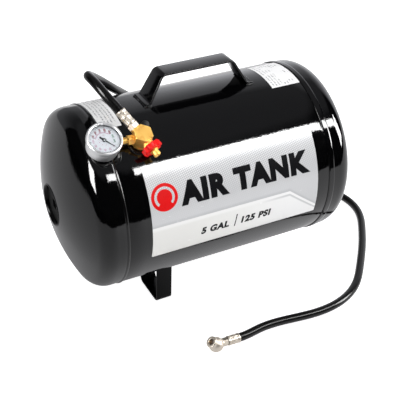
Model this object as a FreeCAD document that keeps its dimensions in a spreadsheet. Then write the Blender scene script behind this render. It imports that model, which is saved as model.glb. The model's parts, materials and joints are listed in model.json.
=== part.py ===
import FreeCAD, Part
import math
import os
import re
import Sketcher
from FreeCAD import Placement, Rotation, Vector

# A portable 5-gallon compressed-air tank: a welded horizontal shell with a strap handle and a strap foot,
# and a brass manifold that carries the gauge, the shut-off valve, the fill valve and the hose.
#
# Row frame, millimetres: the origin is the centre of the foot's flat bottom, +X runs along the tank's axis
# towards the plain end, -Y faces the labelled side and +Z is up.

SIZES = (
    ("tank_diameter", 252.0, "outside diameter of the shell"),
    ("wall", 2.3, "plate thickness of shell and heads"),
    ("shell_length", 306.0, "cylinder between the two head seams"),
    ("flange_length", 13.5, "straight flange of each head"),
    ("crown_radius", 252.0, "outside radius of a head's crown"),
    ("knuckle_radius", 25.2, "outside radius of a head's knuckle"),
    ("axis_height", 197.0, "tank axis above the floor"),
    ("foot_offset", 65.0, "tank middle from the foot's middle, along X"),
    ("bead_radius", 2.4, "round of a weld bead"),
    ("bead_height", 0.9, "how far a bead stands off the plate"),
    ("lap_width", 9.0, "rolled lap ring at the right seam"),
    ("lap_height", 1.2, "how far the lap ring stands off the shell"),
    ("strap", 3.0, "thickness of handle and foot strap"),
    ("bend_radius", 6.0, "inside bend radius of the straps"),
    ("handle_width", 29.0, "handle strap width along its top"),
    ("handle_base_width", 38.0, "handle strap width where its legs meet the shell"),
    ("handle_top", 164.0, "handle's upper face above the tank axis"),
    ("handle_top_half", 53.0, "half of the handle's straight top"),
    ("handle_base_half", 75.0, "half the distance between the handle's legs at the shell"),
    ("handle_shift", 1.5, "handle middle from the tank middle, along X"),
    ("handle_tab", 5.0, "welded tab at the end of each handle leg"),
    ("foot_width", 24.0, "foot strap width along X"),
    ("foot_top_half", 36.0, "half the foot's width where it meets the shell"),
    ("foot_base_half", 31.0, "half the foot's width at the floor"),
    ("decal", 0.25, "thickness of label and stickers"),
    ("label_length", 250.0, "front label along X"),
    ("label_shift", 5.0, "front label middle from the tank middle"),
    ("label_start", 48.0, "front label's upper edge, degrees from the top"),
    ("label_sweep", 60.0, "front label around the shell, degrees"),
    ("boss_radius", 15.6, "weld-on boss flange"),
    ("boss_neck", 13.0, "boss neck through the shell"),
    ("boss_height", 2.0, "boss above the shell"),
    ("boss_depth", 5.0, "boss neck inside the shell"),
    ("head_port_radius", 30.0, "outside of the ring in the left head"),
    ("head_thread_radius", 26.5, "plug thread in that ring"),
    ("head_port_drop", 1.0, "ring's face below the head's middle, just proud of the dish around it"),
    ("head_port_depth", 14.0, "ring below the head's crown"),
    ("head_plug_recess", 6.0, "plug face below the head's crown"),
    ("head_plug_socket", 12.7, "square socket in the plug"),
    ("pipe_thread", 6.7, "radius of the 1/4 inch pipe thread"),
    ("small_thread", 4.9, "radius of the 1/8 inch pipe thread"),
    ("manifold_x", -110.0, "manifold axis from the tank middle, along X"),
    ("manifold_angle", 33.6, "manifold axis from the top, degrees"),
    ("manifold_turn", -4.0, "turn of the manifold about its own axis, degrees"),
    ("manifold_flats", 22.5, "manifold across flats"),
    ("manifold_top", 25.5, "top of the manifold above the shell"),
    ("thread_reach", 3.6, "length of a thread inside the manifold"),
    ("valve_collar", 1.3, "round collar under the valve bonnet"),
    ("hose_collar", 2.2, "round collar under the hose fitting"),
    ("collar_radius", 6.9, "radius of both collars"),
    ("passage", 1.8, "radius of the air passages"),
    ("gauge_height", 12.5, "gauge port above the shell"),
    ("hose_height", 16.5, "hose port above the shell"),
    ("hose_tilt", 12.0, "rise of the hose port, degrees"),
    ("valve_height", 16.5, "shut-off valve above the shell"),
    ("fill_height", 11.5, "fill valve above the shell"),
    ("gauge_distance", 51.0, "gauge middle from the manifold axis"),
    ("case_radius", 21.0, "gauge case"),
    ("case_bottom", 4.0, "back of the gauge case above the shell"),
    ("case_top", 25.0, "case rim above the shell"),
    ("bezel_radius", 23.0, "gauge bezel"),
    ("bezel_top", 29.0, "bezel face above the shell"),
    ("dial_radius", 19.6, "gauge dial"),
    ("dial_height", 22.6, "dial's lower face above the shell"),
    ("shaft_radius", 0.6, "gauge pointer shaft"),
    ("socket_flats", 12.0, "gauge socket across flats"),
    ("socket_hexagon", 8.0, "length of the gauge socket's hexagon"),
    ("socket_neck", 4.2, "gauge socket's neck through the case"),
    ("socket_block", 3.0, "half of the block that holds the Bourdon tube"),
    ("tube_radius", 15.0, "middle radius of the Bourdon tube"),
    ("pinion_radius", 1.2, "pitch radius of the pointer pinion"),
    ("sector_radius", 8.4, "pitch radius of the sector gear"),
    ("tooth_gap", 0.05, "half the gap between the pitch rounds"),
    ("knob_radius", 13.6, "red knob"),
    ("knob_start", 15.9, "knob's inner face from the manifold axis"),
    ("knob_thickness", 7.6, "knob thickness"),
    ("knob_lobes", 10.0, "finger notches around the knob"),
    ("spindle_radius", 3.0, "valve spindle"),
    ("nose_radius", 4.8, "brass nut in the middle of the knob"),
    ("nose_length", 8.5, "length of that nut"),
    ("notch_radius", 3.2, "finger notch"),
    ("bonnet_thread", 6.0, "bonnet thread radius"),
    ("bonnet_flats", 14.0, "bonnet across flats"),
    ("bonnet_hexagon", 2.9, "length of the bonnet's hexagon"),
    ("seal_wire", 0.8, "round of the spindle's O-ring"),
    ("disc_radius", 3.4, "rubber valve disc"),
    ("disc_thickness", 1.5, "thickness of that disc"),
    ("running_gap", 0.05, "radial running clearance"),
    ("stem_radius", 3.85, "fill valve's threaded stem"),
    ("fill_flats", 11.0, "fill valve across flats"),
    ("fill_hexagon", 3.5, "length of the fill valve's hexagon"),
    ("core_radius", 2.5, "fill valve core"),
    ("pin_radius", 0.7, "fill valve pin"),
    ("cap_radius", 5.2, "dust cap"),
    ("cap_start", 15.2, "open end of the dust cap from the manifold axis"),
    ("stem_end", 22.6, "end of the fill valve stem from the manifold axis"),
    ("fitting_flats", 14.0, "manifold hose fitting across flats"),
    ("chuck_flats", 11.0, "chuck hose fitting across flats"),
    ("hose_start", 20.0, "end of the hose from the manifold axis"),
    ("hose_radius", 6.25, "outside of the hose"),
    ("hose_bore", 3.4, "inside of the hose"),
    ("ferrule_radius", 7.0, "crimped ferrule"),
    ("tank_ferrule_end", 42.0, "end of the manifold ferrule from the manifold axis"),
    ("ball_radius", 10.8, "ball of the air chuck"),
    ("mouth_radius", 8.2, "outside of the chuck's mouth"),
    ("mouth_length", 12.0, "mouth face from the ball's centre"),
    ("mouth_bore", 4.2, "bore that takes a tyre valve"),
    ("chuck_neck", 17.5, "end of the chuck's hexagon from the ball's centre"),
    ("chuck_ferrule_end", 37.0, "end of the chuck ferrule from the ball's centre"),
)

# The hose's centre line between its two ferrules, from the tank's middle: over the back of the shell,
# down to the floor behind it, around the plain end and back along the labelled side.
HOSE_LOOP = (
    (-140.5, -33, 165),
    (-146, -14, 174),
    (-146.5, 4, 174.5),
    (-135, 23, 163),
    (-121, 40, 149),
    (-95, 66, 122),
    (-64, 100, 90),
    (-24, 130, 48),
    (18, 152, -10),
    (60, 168, -74),
    (108, 180, -135),
    (165, 186, -179),
    (228, 177, -190.7),
    (282, 149, -190.7),
    (319, 113, -190.7),
    (334, 72, -190.7),
    (329, 29, -190.7),
    (306, -14, -190.7),
    (276, -57, -190.7),
    (244, -97, -190.7),
    (208, -135, -190.7),
    (164, -158, -190.7),
    (116, -163, -190.7),
    (66, -157, -190.7),
    (30, -156.5, -190.5),
)
CHUCK_CENTRE = Vector(-46, -163.5, -186.2)
CHUCK_AXIS = Vector(1.0, 0.03, -0.07)
LONG_SEAM_ANGLE = -125.0
POINTER_REST = -45.0  # the pointer's zero from the gauge's stem, degrees
POINTER_TAIL = 5.5
MOVEMENT_HEIGHT = 8.6  # pinion and sector above the shell
SECTOR_SPREAD = 56.0
SECTOR_START = -131.0
TUBE_START = 9.0
TUBE_SWEEP = 250.0
CHUCK_SOCKET = 7.3  # floor of the chuck's threaded socket, from the ball's centre
SEAL_BOTTOM = 2.5
SEAL_TOP = 5.0
SOCKET_FLOOR = 3.0
STICKERS = (
    ("left_sticker", -150.5, -122.0, -20.0, 39.0),
    ("right_sticker", 104.0, 148.0, -16.0, 33.0),
)
MOUTH_LIFT = 42.0  # degrees the chuck's mouth is turned up from the hose's line

UP = Vector(0, 0, 1)
ALONG = Vector(1, 0, 0)

doc = FreeCAD.newDocument("air_tank")
sheet = doc.addObject("Spreadsheet::Sheet", "sizes")
for row, (alias, number, note) in enumerate(SIZES, start=1):
    sheet.set(f"A{row}", alias)
    sheet.set(f"B{row}", str(number))
    sheet.setAlias(f"B{row}", alias)
    sheet.set(f"C{row}", note)
doc.recompute()

CELLS = {entry[0]: f"sizes.{entry[0]}" for entry in SIZES}
nodes = {}


def size(alias):
    """The number in a named cell."""
    return float(getattr(sheet, alias))


def bind(item, prop, formula):
    """Ties a property, or a sketch constraint, to a formula of cell names."""
    item.setExpression(prop, re.sub(r"[a-z][a-z_]+", lambda word: CELLS.get(word[0], word[0]), formula))


def node(item, label, place=None):
    """Names a finished sub-part and puts it in the row frame."""
    item.Label = label
    if place is not None:
        item.Placement = place
    nodes[label] = item
    return item


# ---------------------------------------------------------------- local frames

TANK = Placement(Vector(size("foot_offset"), 0, size("axis_height")), Rotation())


def frame(origin, z_axis, x_hint):
    """A frame whose Z runs along z_axis and whose X is as near x_hint as it can be."""
    return Placement(origin, Rotation(x_hint, Vector(), z_axis, "ZXY"))


def around_tank(x, degrees):
    """A frame on the tank's axis at x, turned so that its Z points out at this angle from the top."""
    return TANK * Placement(Vector(x, 0, 0), Rotation(ALONG, degrees))


def on_shell(x, degrees):
    """A frame on the shell's surface, Z outwards, X along the tank."""
    return around_tank(x, degrees) * Placement(Vector(0, 0, size("tank_diameter") / 2), Rotation())


MANIFOLD = on_shell(size("manifold_x"), size("manifold_angle")) * Placement(
    Vector(), Rotation(UP, size("manifold_turn")))


def port(degrees, height, tilt=0.0):
    """A frame on the manifold's axis at this height, Z out through the face at this angle."""
    turn = math.radians(degrees)
    rise = math.radians(tilt)
    out = Vector(math.cos(turn) * math.cos(rise), math.sin(turn) * math.cos(rise), math.sin(rise))
    return MANIFOLD * frame(Vector(0, 0, height), out, UP)


GAUGE_PORT = port(180, size("gauge_height"))
HOSE_PORT = port(120, size("hose_height"), size("hose_tilt"))
VALVE_PORT = port(-68, size("valve_height"))
FILL_PORT = port(60, size("fill_height"))
GAUGE = MANIFOLD * Placement(Vector(-size("gauge_distance"), 0, 0), Rotation())


def chuck_frames():
    """The chuck's two frames at the ball's centre: Z along the hose, and Z out of the mouth."""
    along = Vector(CHUCK_AXIS).normalize()
    side = along.cross(UP).normalize()
    mouth = Rotation(side, -MOUTH_LIFT).multVec(-along)
    centre = TANK.multVec(CHUCK_CENTRE)
    return frame(centre, along, UP), frame(centre, mouth, side)


CHUCK_HOSE, CHUCK_MOUTH = chuck_frames()


# ---------------------------------------------------------------- builders

def origin_plane(body, role):
    for feature in body.Origin.OriginFeatures:
        if feature.Role == role:
            return feature
    raise RuntimeError(role)


def new_sketch(body, role="XZ_Plane"):
    """A sketch on one of the body's own origin planes."""
    sketch = body.newObject("Sketcher::SketchObject", f"{body.Name}_sketch")
    sketch.AttachmentSupport = [(origin_plane(body, role), "")]
    sketch.MapMode = "FlatFace"
    return sketch


def pin(sketch, line, end, kind, formula, tag, now):
    """Fixes one coordinate of a line's end, drawn at the number now, to a formula of cell names."""
    if formula == "0":
        axis = -2 if kind == "DistanceX" else -1
        sketch.addConstraint(Sketcher.Constraint("PointOnObject", line, end, axis))
        return
    index = sketch.addConstraint(Sketcher.Constraint(kind, -1, 1, line, end, now))
    sketch.renameConstraint(index, tag)
    bind(sketch, f"Constraints.{tag}", formula)


def outline(body, corners, role="XZ_Plane"):
    """A closed sketch of straight lines whose corners are (across, up) formulas."""
    sketch = new_sketch(body, role)
    count = len(corners)
    spread = [
        Vector(20 + 9 * math.cos(2 * math.pi * i / count), 9 * math.sin(2 * math.pi * i / count), 0)
        for i in range(count)
    ]
    for i in range(count):
        sketch.addGeometry(Part.LineSegment(spread[i], spread[(i + 1) % count]), False)
    for i in range(count):
        sketch.addConstraint(Sketcher.Constraint("Coincident", i, 2, (i + 1) % count, 1))
    for i, (across, up) in enumerate(corners):
        pin(sketch, i, 1, "DistanceX", across, f"across{i}", spread[i].x)
        pin(sketch, i, 1, "DistanceY", up, f"up{i}", spread[i].y)
    return sketch


def turned(label, corners, place=None):
    """A lathe-turned piece: (radius, height) corners revolved about the body's Z."""
    body = doc.addObject("PartDesign::Body", label)
    sketch = outline(body, corners)
    turn = body.newObject("PartDesign::Revolution", f"{label}_turn")
    turn.Profile = sketch
    turn.ReferenceAxis = (sketch, ["V_Axis"])
    turn.Angle = 360.0
    sketch.Visibility = False
    if place is not None:
        body.Placement = place
    return body


def ring_corners(inner, outer, low, high):
    return ((inner, low), (outer, low), (outer, high), (inner, high))


def cylinder(radius, length, place=None, start=0.0):
    """A round bar along a frame's Z from start, with its sizes bound."""
    bar = doc.addObject("Part::Cylinder", "bar")
    bind(bar, "Radius", radius)
    bind(bar, "Height", length)
    bar.Placement = (place or Placement()) * Placement(Vector(0, 0, start), Rotation())
    return bar


def hexagon(flats, length, start, place=None):
    """A hexagonal bar along its own Z, by its width across flats."""
    bar = doc.addObject("Part::Prism", "hexagon")
    bar.Polygon = 6
    bind(bar, "Circumradius", f"{flats} / 2 / cos(30)")
    bind(bar, "Height", length)
    bar.Placement = (place or Placement()) * Placement(Vector(0, 0, start), Rotation(UP, 30))
    return bar


def fused(*items):
    joined = doc.addObject("Part::MultiFuse", "joined")
    joined.Shapes = list(items)
    return joined


def cut(base, *tools):
    """The base with every tool taken away."""
    result = doc.addObject("Part::Cut", "cut")
    result.Base = base
    result.Tool = tools[0] if len(tools) == 1 else fused(*tools)
    return result


def coil(label, radius, wire, height, turns, place):
    """A round-wire compression spring along its own Z."""
    spine = doc.addObject("Part::Helix", f"{label}_line")
    spine.Radius = radius
    spine.Height = height
    spine.Pitch = height / turns
    section = doc.addObject("Part::Circle", f"{label}_wire")
    section.Radius = wire
    section.Placement = Placement(Vector(radius, 0, 0), Rotation(ALONG, 90))
    sweep = doc.addObject("Part::Sweep", label)
    sweep.Sections = [section]
    sweep.Spine = (spine, ["Edge1"])
    sweep.Solid = True
    sweep.Frenet = True
    return node(sweep, label, place)


def tank_outside(extra="0"):
    """The shell's outer round as a long bar about the tank's axis, for trimming pieces welded to it."""
    bar = cylinder(f"tank_diameter / 2 + {extra}", "shell_length + 2 * flange_length")
    half = size("shell_length") / 2 + size("flange_length")
    bar.Placement = TANK * frame(Vector(-half, 0, 0), ALONG, UP)
    return bar


# ---------------------------------------------------------------- pressure vessel

def dished_arcs(sketch, shrink, tag):
    """One skin of a dished head: flange line, knuckle arc and crown arc, each smaller by the shrink."""
    less = size("wall") if shrink else 0.0
    radius = size("tank_diameter") / 2 - less
    knuckle = size("knuckle_radius") - less
    crown = size("crown_radius") - less
    flange = size("flange_length")
    bend = math.acos((radius - knuckle) / (crown - knuckle))
    depth = math.sin(bend) * (crown - knuckle)
    line = sketch.addGeometry(Part.LineSegment(Vector(radius, 0, 0), Vector(radius, flange, 0)), False)
    knuckle_circle = Part.Circle(Vector(radius - knuckle, flange, 0), UP, knuckle)
    knuckle_arc = sketch.addGeometry(Part.ArcOfCircle(knuckle_circle, 0, bend), False)
    crown_circle = Part.Circle(Vector(0, flange - depth, 0), UP, crown)
    crown_arc = sketch.addGeometry(Part.ArcOfCircle(crown_circle, bend, math.pi / 2), False)
    minus = " - wall" if shrink else ""
    pin(sketch, line, 1, "DistanceX", f"tank_diameter / 2{minus}", f"{tag}_radius", radius)
    pin(sketch, line, 1, "DistanceY", "0", tag, 0)
    sketch.addConstraint(Sketcher.Constraint("Vertical", line))
    pin(sketch, line, 2, "DistanceY", "flange_length", f"{tag}_flange", flange)
    sketch.addConstraint(Sketcher.Constraint("Tangent", line, 2, knuckle_arc, 1))
    sketch.addConstraint(Sketcher.Constraint("Tangent", knuckle_arc, 2, crown_arc, 1))
    for arc, name, radius_now in ((knuckle_arc, "knuckle", knuckle), (crown_arc, "crown", crown)):
        index = sketch.addConstraint(Sketcher.Constraint("Radius", arc, radius_now))
        sketch.renameConstraint(index, f"{tag}_{name}")
        bind(sketch, f"Constraints.{tag}_{name}", f"{name}_radius{minus}")
    sketch.addConstraint(Sketcher.Constraint("PointOnObject", crown_arc, 3, -2))
    sketch.addConstraint(Sketcher.Constraint("PointOnObject", crown_arc, 2, -2))
    return line, crown_arc


def dished_head(name):
    """A torispherical head with its straight flange, open end down, about the body's Z."""
    body = doc.addObject("PartDesign::Body", name)
    sketch = new_sketch(body)
    outer_line, outer_crown = dished_arcs(sketch, False, "outer")
    inner_line, inner_crown = dished_arcs(sketch, True, "inner")
    for first, first_end, last, last_end in (
        (outer_line, 1, inner_line, 1),
        (outer_crown, 2, inner_crown, 2),
    ):
        start = sketch.getPoint(first, first_end)
        end = sketch.getPoint(last, last_end)
        joint = sketch.addGeometry(Part.LineSegment(start, end), False)
        sketch.addConstraint(Sketcher.Constraint("Coincident", joint, 1, first, first_end))
        sketch.addConstraint(Sketcher.Constraint("Coincident", joint, 2, last, last_end))
    turn = body.newObject("PartDesign::Revolution", f"{name}_turn")
    turn.Profile = sketch
    turn.ReferenceAxis = (sketch, ["V_Axis"])
    turn.Angle = 360.0
    return body


def vessel():
    half = size("shell_length") / 2
    skin = ring_corners("tank_diameter / 2 - wall", "tank_diameter / 2", "-1 * shell_length / 2",
                        "shell_length / 2")
    tube = turned("shell_tube", skin)
    tube.Placement = TANK * frame(Vector(), ALONG, UP)
    neck = cylinder("boss_neck", "tank_diameter / 4")
    neck.Placement = MANIFOLD * Placement(Vector(0, 0, -30), Rotation())
    node(cut(tube, neck), "tank_shell")

    left = dished_head("left_dish")
    left_place = TANK * frame(Vector(-half, 0, 0), -ALONG, UP)
    left.Placement = left_place
    hole = cylinder("head_port_radius", "tank_diameter / 2", place=left_place)
    node(cut(left, hole), "left_head")
    node(dished_head("right_head"), "right_head", TANK * frame(Vector(half, 0, 0), ALONG, UP))


def head_depth():
    """Height of a head's outer crown above its open edge."""
    radius = size("tank_diameter") / 2
    knuckle = size("knuckle_radius")
    crown = size("crown_radius")
    rise = math.sqrt((crown - knuckle) ** 2 - (radius - knuckle) ** 2)
    return size("flange_length") + crown - rise


def seam_welds():
    """The left head's weld bead, the right head's rolled lap ring and the shell's long seam."""
    half = size("shell_length") / 2
    bead = doc.addObject("Part::Torus", "left_bead")
    bind(bead, "Radius1", "tank_diameter / 2 + bead_height - bead_radius")
    bind(bead, "Radius2", "bead_radius")
    bead.Placement = TANK * frame(Vector(-half, 0, 0), ALONG, UP)
    node(cut(bead, tank_outside()), "left_seam_weld")

    ring = turned("right_lap_ring", (
        ("tank_diameter / 2", "-1 * lap_width / 2"),
        ("tank_diameter / 2 + lap_height / 2", "-1 * lap_width / 2"),
        ("tank_diameter / 2 + lap_height", "-1 * lap_width / 2 + lap_height"),
        ("tank_diameter / 2 + lap_height", "lap_width / 2 - lap_height"),
        ("tank_diameter / 2 + lap_height / 2", "lap_width / 2"),
        ("tank_diameter / 2", "lap_width / 2"),
    ))
    node(ring, "right_lap_ring", TANK * frame(Vector(half, 0, 0), ALONG, UP))

    seam = cylinder("bead_radius", "shell_length - 2 * lap_width")
    sink = size("bead_radius") - size("bead_height")
    start = around_tank(-half + size("lap_width"), LONG_SEAM_ANGLE) * Placement(
        Vector(0, 0, size("tank_diameter") / 2 - sink), Rotation())
    seam.Placement = start * Placement(Vector(), Rotation(Vector(0, 1, 0), 90))
    node(cut(seam, tank_outside()), "shell_seam_weld")


def manifold_boss():
    """The round boss welded into the shell under the manifold."""
    flange = cylinder("boss_radius", "2 * boss_height")
    flange.Placement = MANIFOLD * Placement(Vector(0, 0, -size("boss_height")), Rotation())
    neck = cylinder("boss_neck", "boss_height + boss_depth")
    neck.Placement = MANIFOLD * Placement(Vector(0, 0, -size("boss_depth")), Rotation())
    bore = cylinder("pipe_thread", "4 * boss_depth")
    bore.Placement = MANIFOLD * Placement(Vector(0, 0, -2 * size("boss_depth")), Rotation())
    body = fused(cut(flange, tank_outside()), neck)
    node(cut(body, bore), "manifold_boss")


def head_port():
    """The port in the middle of the left head: a welded ring with a recessed square-socket plug."""
    top = head_depth()
    place = TANK * frame(Vector(-size("shell_length") / 2, 0, 0), -ALONG, UP)
    seat = place * Placement(Vector(0, 0, top), Rotation())
    ring = turned("head_port_ring", (
        ("head_thread_radius", "-1 * head_port_depth"),
        ("head_port_radius", "-1 * head_port_depth"),
        ("head_port_radius", "-1.5 * head_port_drop"),
        ("head_port_radius - 1", "-1 * head_port_drop"),
        ("head_thread_radius + 1.5", "-1 * head_port_drop"),
        ("head_thread_radius", "-1 * head_port_drop - 1.5"),
    ))
    node(ring, "head_port_boss", seat)
    plug = cylinder("head_thread_radius", "head_port_depth - head_plug_recess")
    plug.Placement = seat * Placement(Vector(0, 0, -size("head_port_depth")), Rotation())
    socket = doc.addObject("Part::Box", "plug_socket")
    for side in ("Length", "Width", "Height"):
        bind(socket, side, "head_plug_socket")
    offset = -size("head_plug_socket") / 2
    socket.Placement = seat * Placement(Vector(offset, offset, -size("head_port_depth") + SOCKET_FLOOR), Rotation())
    node(cut(plug, socket), "head_port_plug")


# ---------------------------------------------------------------- handle and foot

def strap(name, corners, width, axis_plane):
    """A bent strap: a closed outline padded evenly to both sides of the body's plane."""
    body = doc.addObject("PartDesign::Body", name)
    sketch = outline(body, corners, axis_plane)
    pad = body.newObject("PartDesign::Pad", f"{name}_pad")
    pad.Profile = sketch
    pad.Midplane = True
    bind(pad, "Length", width)
    doc.recompute()
    return body, pad


def round_bends(body, pad, direction, bends):
    """Rounds the strap's bends: each entry is (point in the outline's plane, radius formula)."""
    for count, (point, radius) in enumerate(bends):
        tip = body.Tip or pad
        names = []
        for index, edge in enumerate(tip.Shape.Edges, start=1):
            start = edge.Vertexes[0].Point
            end = edge.Vertexes[-1].Point
            along = abs((end - start).normalize().dot(direction)) if start.distanceToPoint(end) > 1 else 0
            flat = start - direction * start.dot(direction)
            if along > 0.99 and flat.distanceToPoint(point) < 0.5:
                names.append(f"Edge{index}")
        if len(names) != 1:
            raise RuntimeError(f"{body.Label}: bend {count} has {len(names)} edges")
        fillet = body.newObject("PartDesign::Fillet", f"{body.Name}_bend{count}")
        fillet.Base = (tip, names)
        bind(fillet, "Radius", radius)
        doc.recompute()


def handle():
    """A strap handle: two sloping legs, a straight top, and a tab at each foot welded to the shell."""
    radius = size("tank_diameter") / 2
    base = size("handle_base_half")
    top_half = size("handle_top_half")
    top = size("handle_top")
    thick = size("strap")
    slope = math.atan2(base - top_half, top - radius)
    shift = thick * math.tan((math.pi / 2 - slope) / 2)
    inner_top = ("handle_top_half - %.4f" % shift, "handle_top - strap")
    drop = "tank_diameter / 2 - strap"
    tab_top = "tank_diameter / 2 + strap"
    right = (
        ("handle_base_half - %.4f" % (thick / math.cos(slope)), drop),
        ("handle_base_half + handle_tab", drop),
        ("handle_base_half + handle_tab", tab_top),
        ("handle_base_half - %.4f" % (thick * math.tan(slope)), tab_top),
        ("handle_top_half", "handle_top"),
    )
    left = tuple((f"-1 * ( {across} )", up) for across, up in reversed(right))
    inner = (("-1 * ( %s )" % inner_top[0], inner_top[1]), inner_top)
    body, pad = strap("handle_strap", right + left + inner, "handle_base_width", "XZ_Plane")
    side = Vector(0, 1, 0)
    bends = []
    for sign in (1, -1):
        bends.append((Vector(sign * top_half, 0, top), "bend_radius + strap"))
        bends.append((Vector(sign * (top_half - shift), 0, top - thick), "bend_radius"))
        bends.append((Vector(sign * (base - thick * math.tan(slope)), 0, radius + thick), "bend_radius / 2"))
    round_bends(body, pad, side, bends)
    place = TANK * Placement(Vector(size("handle_shift"), 0, 0), Rotation())
    body.Placement = place
    taper = doc.addObject("Part::Wedge", "handle_taper")
    bind(taper, "Ymin", "tank_diameter / 2 - strap")
    bind(taper, "Ymax", "handle_top")
    for low, high, width in (("Xmin", "Xmax", "handle_base_width"), ("X2min", "X2max", "handle_width")):
        bind(taper, low, f"-1 * {width} / 2")
        bind(taper, high, f"{width} / 2")
    for low, high in (("Zmin", "Zmax"), ("Z2min", "Z2max")):
        bind(taper, low, "-1 * handle_base_half - 2 * handle_tab")
        bind(taper, high, "handle_base_half + 2 * handle_tab")
    taper.Placement = place * Placement(Vector(), Rotation(Vector(0, 1, 0), UP, ALONG, "XYZ"))
    tapered = doc.addObject("Part::Common", "handle_tapered")
    tapered.Base = body
    tapered.Tool = taper
    strap_piece = node(cut(tapered, tank_outside()), "handle")

    beads = []
    reach = base + size("handle_tab")
    for sign in (1, -1):
        bead = cylinder("strap / 2", "handle_base_width")
        bead.Placement = place * Placement(
            Vector(sign * reach, size("handle_base_width") / 2, radius), Rotation(ALONG, 90))
        beads.append(bead)
    node(cut(fused(*beads), tank_outside(), strap_piece), "handle_welds")


def foot():
    """A U-shaped strap foot under the left part of the shell, its flat bottom on the floor."""
    height = size("axis_height")
    radius = size("tank_diameter") / 2
    top_half = size("foot_top_half")
    base = size("foot_base_half")
    thick = size("strap")
    top = height - math.sqrt(radius ** 2 - top_half ** 2) + thick
    lean = math.atan2(top_half - base, top)
    inside = thick * math.tan((math.pi / 2 + lean) / 2)
    wall = thick / math.cos(lean)
    right = (
        ("foot_base_half", "0"),
        ("foot_top_half", "%.4f" % top),
        ("foot_top_half - %.4f" % wall, "%.4f" % top),
        ("foot_base_half - %.4f" % inside, "strap"),
    )
    left = tuple((f"-1 * ( {across} )", up) for across, up in reversed(right))
    body, pad = strap("foot_strap", right + left, "foot_width", "YZ_Plane")
    bends = []
    for sign in (1, -1):
        bends.append((Vector(0, sign * base, 0), "bend_radius + strap"))
        bends.append((Vector(0, sign * (base - inside), thick), "bend_radius"))
    round_bends(body, pad, ALONG, bends)
    strap_piece = node(cut(body, tank_outside()), "foot")

    beads = []
    touch = height - math.sqrt(radius ** 2 - top_half ** 2)
    for sign in (1, -1):
        bead = cylinder("strap / 2", "foot_width")
        bead.Placement = Placement(
            Vector(-size("foot_width") / 2, sign * top_half, touch), Rotation(Vector(0, 1, 0), 90))
        beads.append(bead)
    node(cut(fused(*beads), tank_outside(), strap_piece), "foot_welds")


# ---------------------------------------------------------------- labels

def wrapped_label(label, x_from, x_to, start, sweep):
    """A thin decal on the shell between two angles from the top."""
    skins = []
    for extra in ("decal", "0"):
        skin = cylinder(f"tank_diameter / 2 + {extra}", f"{x_to - x_from}")
        skin.Angle = sweep
        place = TANK * Placement(Vector(x_from, 0, 0), Rotation(ALONG, start))
        skin.Placement = place * frame(Vector(), ALONG, UP)
        skins.append(skin)
    return node(cut(*skins), label)


def labels():
    half = size("label_length") / 2
    middle = size("label_shift")
    front = wrapped_label("front_label", middle - half, middle + half, size("label_start"), size("label_sweep"))
    for skin in (front.Base, front.Tool):
        bind(skin, "Height", "label_length")
        bind(skin, "Angle", "label_sweep")
    for name, x_from, x_to, start, sweep in STICKERS:
        wrapped_label(name, x_from, x_to, start, sweep)


# ---------------------------------------------------------------- manifold and gauge

def manifold_body():
    """The hexagonal brass body: a nipple into the boss, four side ports and the passages that join them."""
    block = hexagon("manifold_flats", "manifold_top - boss_height", size("boss_height"), MANIFOLD)
    nipple = cylinder("pipe_thread", "boss_height + boss_depth", MANIFOLD, -size("boss_depth"))
    face = size("manifold_flats") / 2
    collars = [
        cylinder("collar_radius", "manifold_flats / 4 + valve_collar", VALVE_PORT, face / 2),
        cylinder("collar_radius", "manifold_flats / 4 + hose_collar", HOSE_PORT, face / 2),
    ]
    tools = [cylinder("passage", "manifold_top", MANIFOLD, -size("boss_depth"))]
    for place, thread in (
        (GAUGE_PORT, "small_thread"),
        (HOSE_PORT, "small_thread"),
        (FILL_PORT, "small_thread"),
        (VALVE_PORT, "bonnet_thread"),
    ):
        tools.append(cylinder(thread, "2 * thread_reach", place, face - size("thread_reach")))
        tools.append(cylinder("passage", "manifold_flats / 2", place))
    tools.append(cylinder("disc_radius + 1", "thread_reach + 0.1", VALVE_PORT, face - 2 * size("thread_reach")))
    node(cut(fused(block, nipple, *collars), *tools), "manifold_body")


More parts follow.
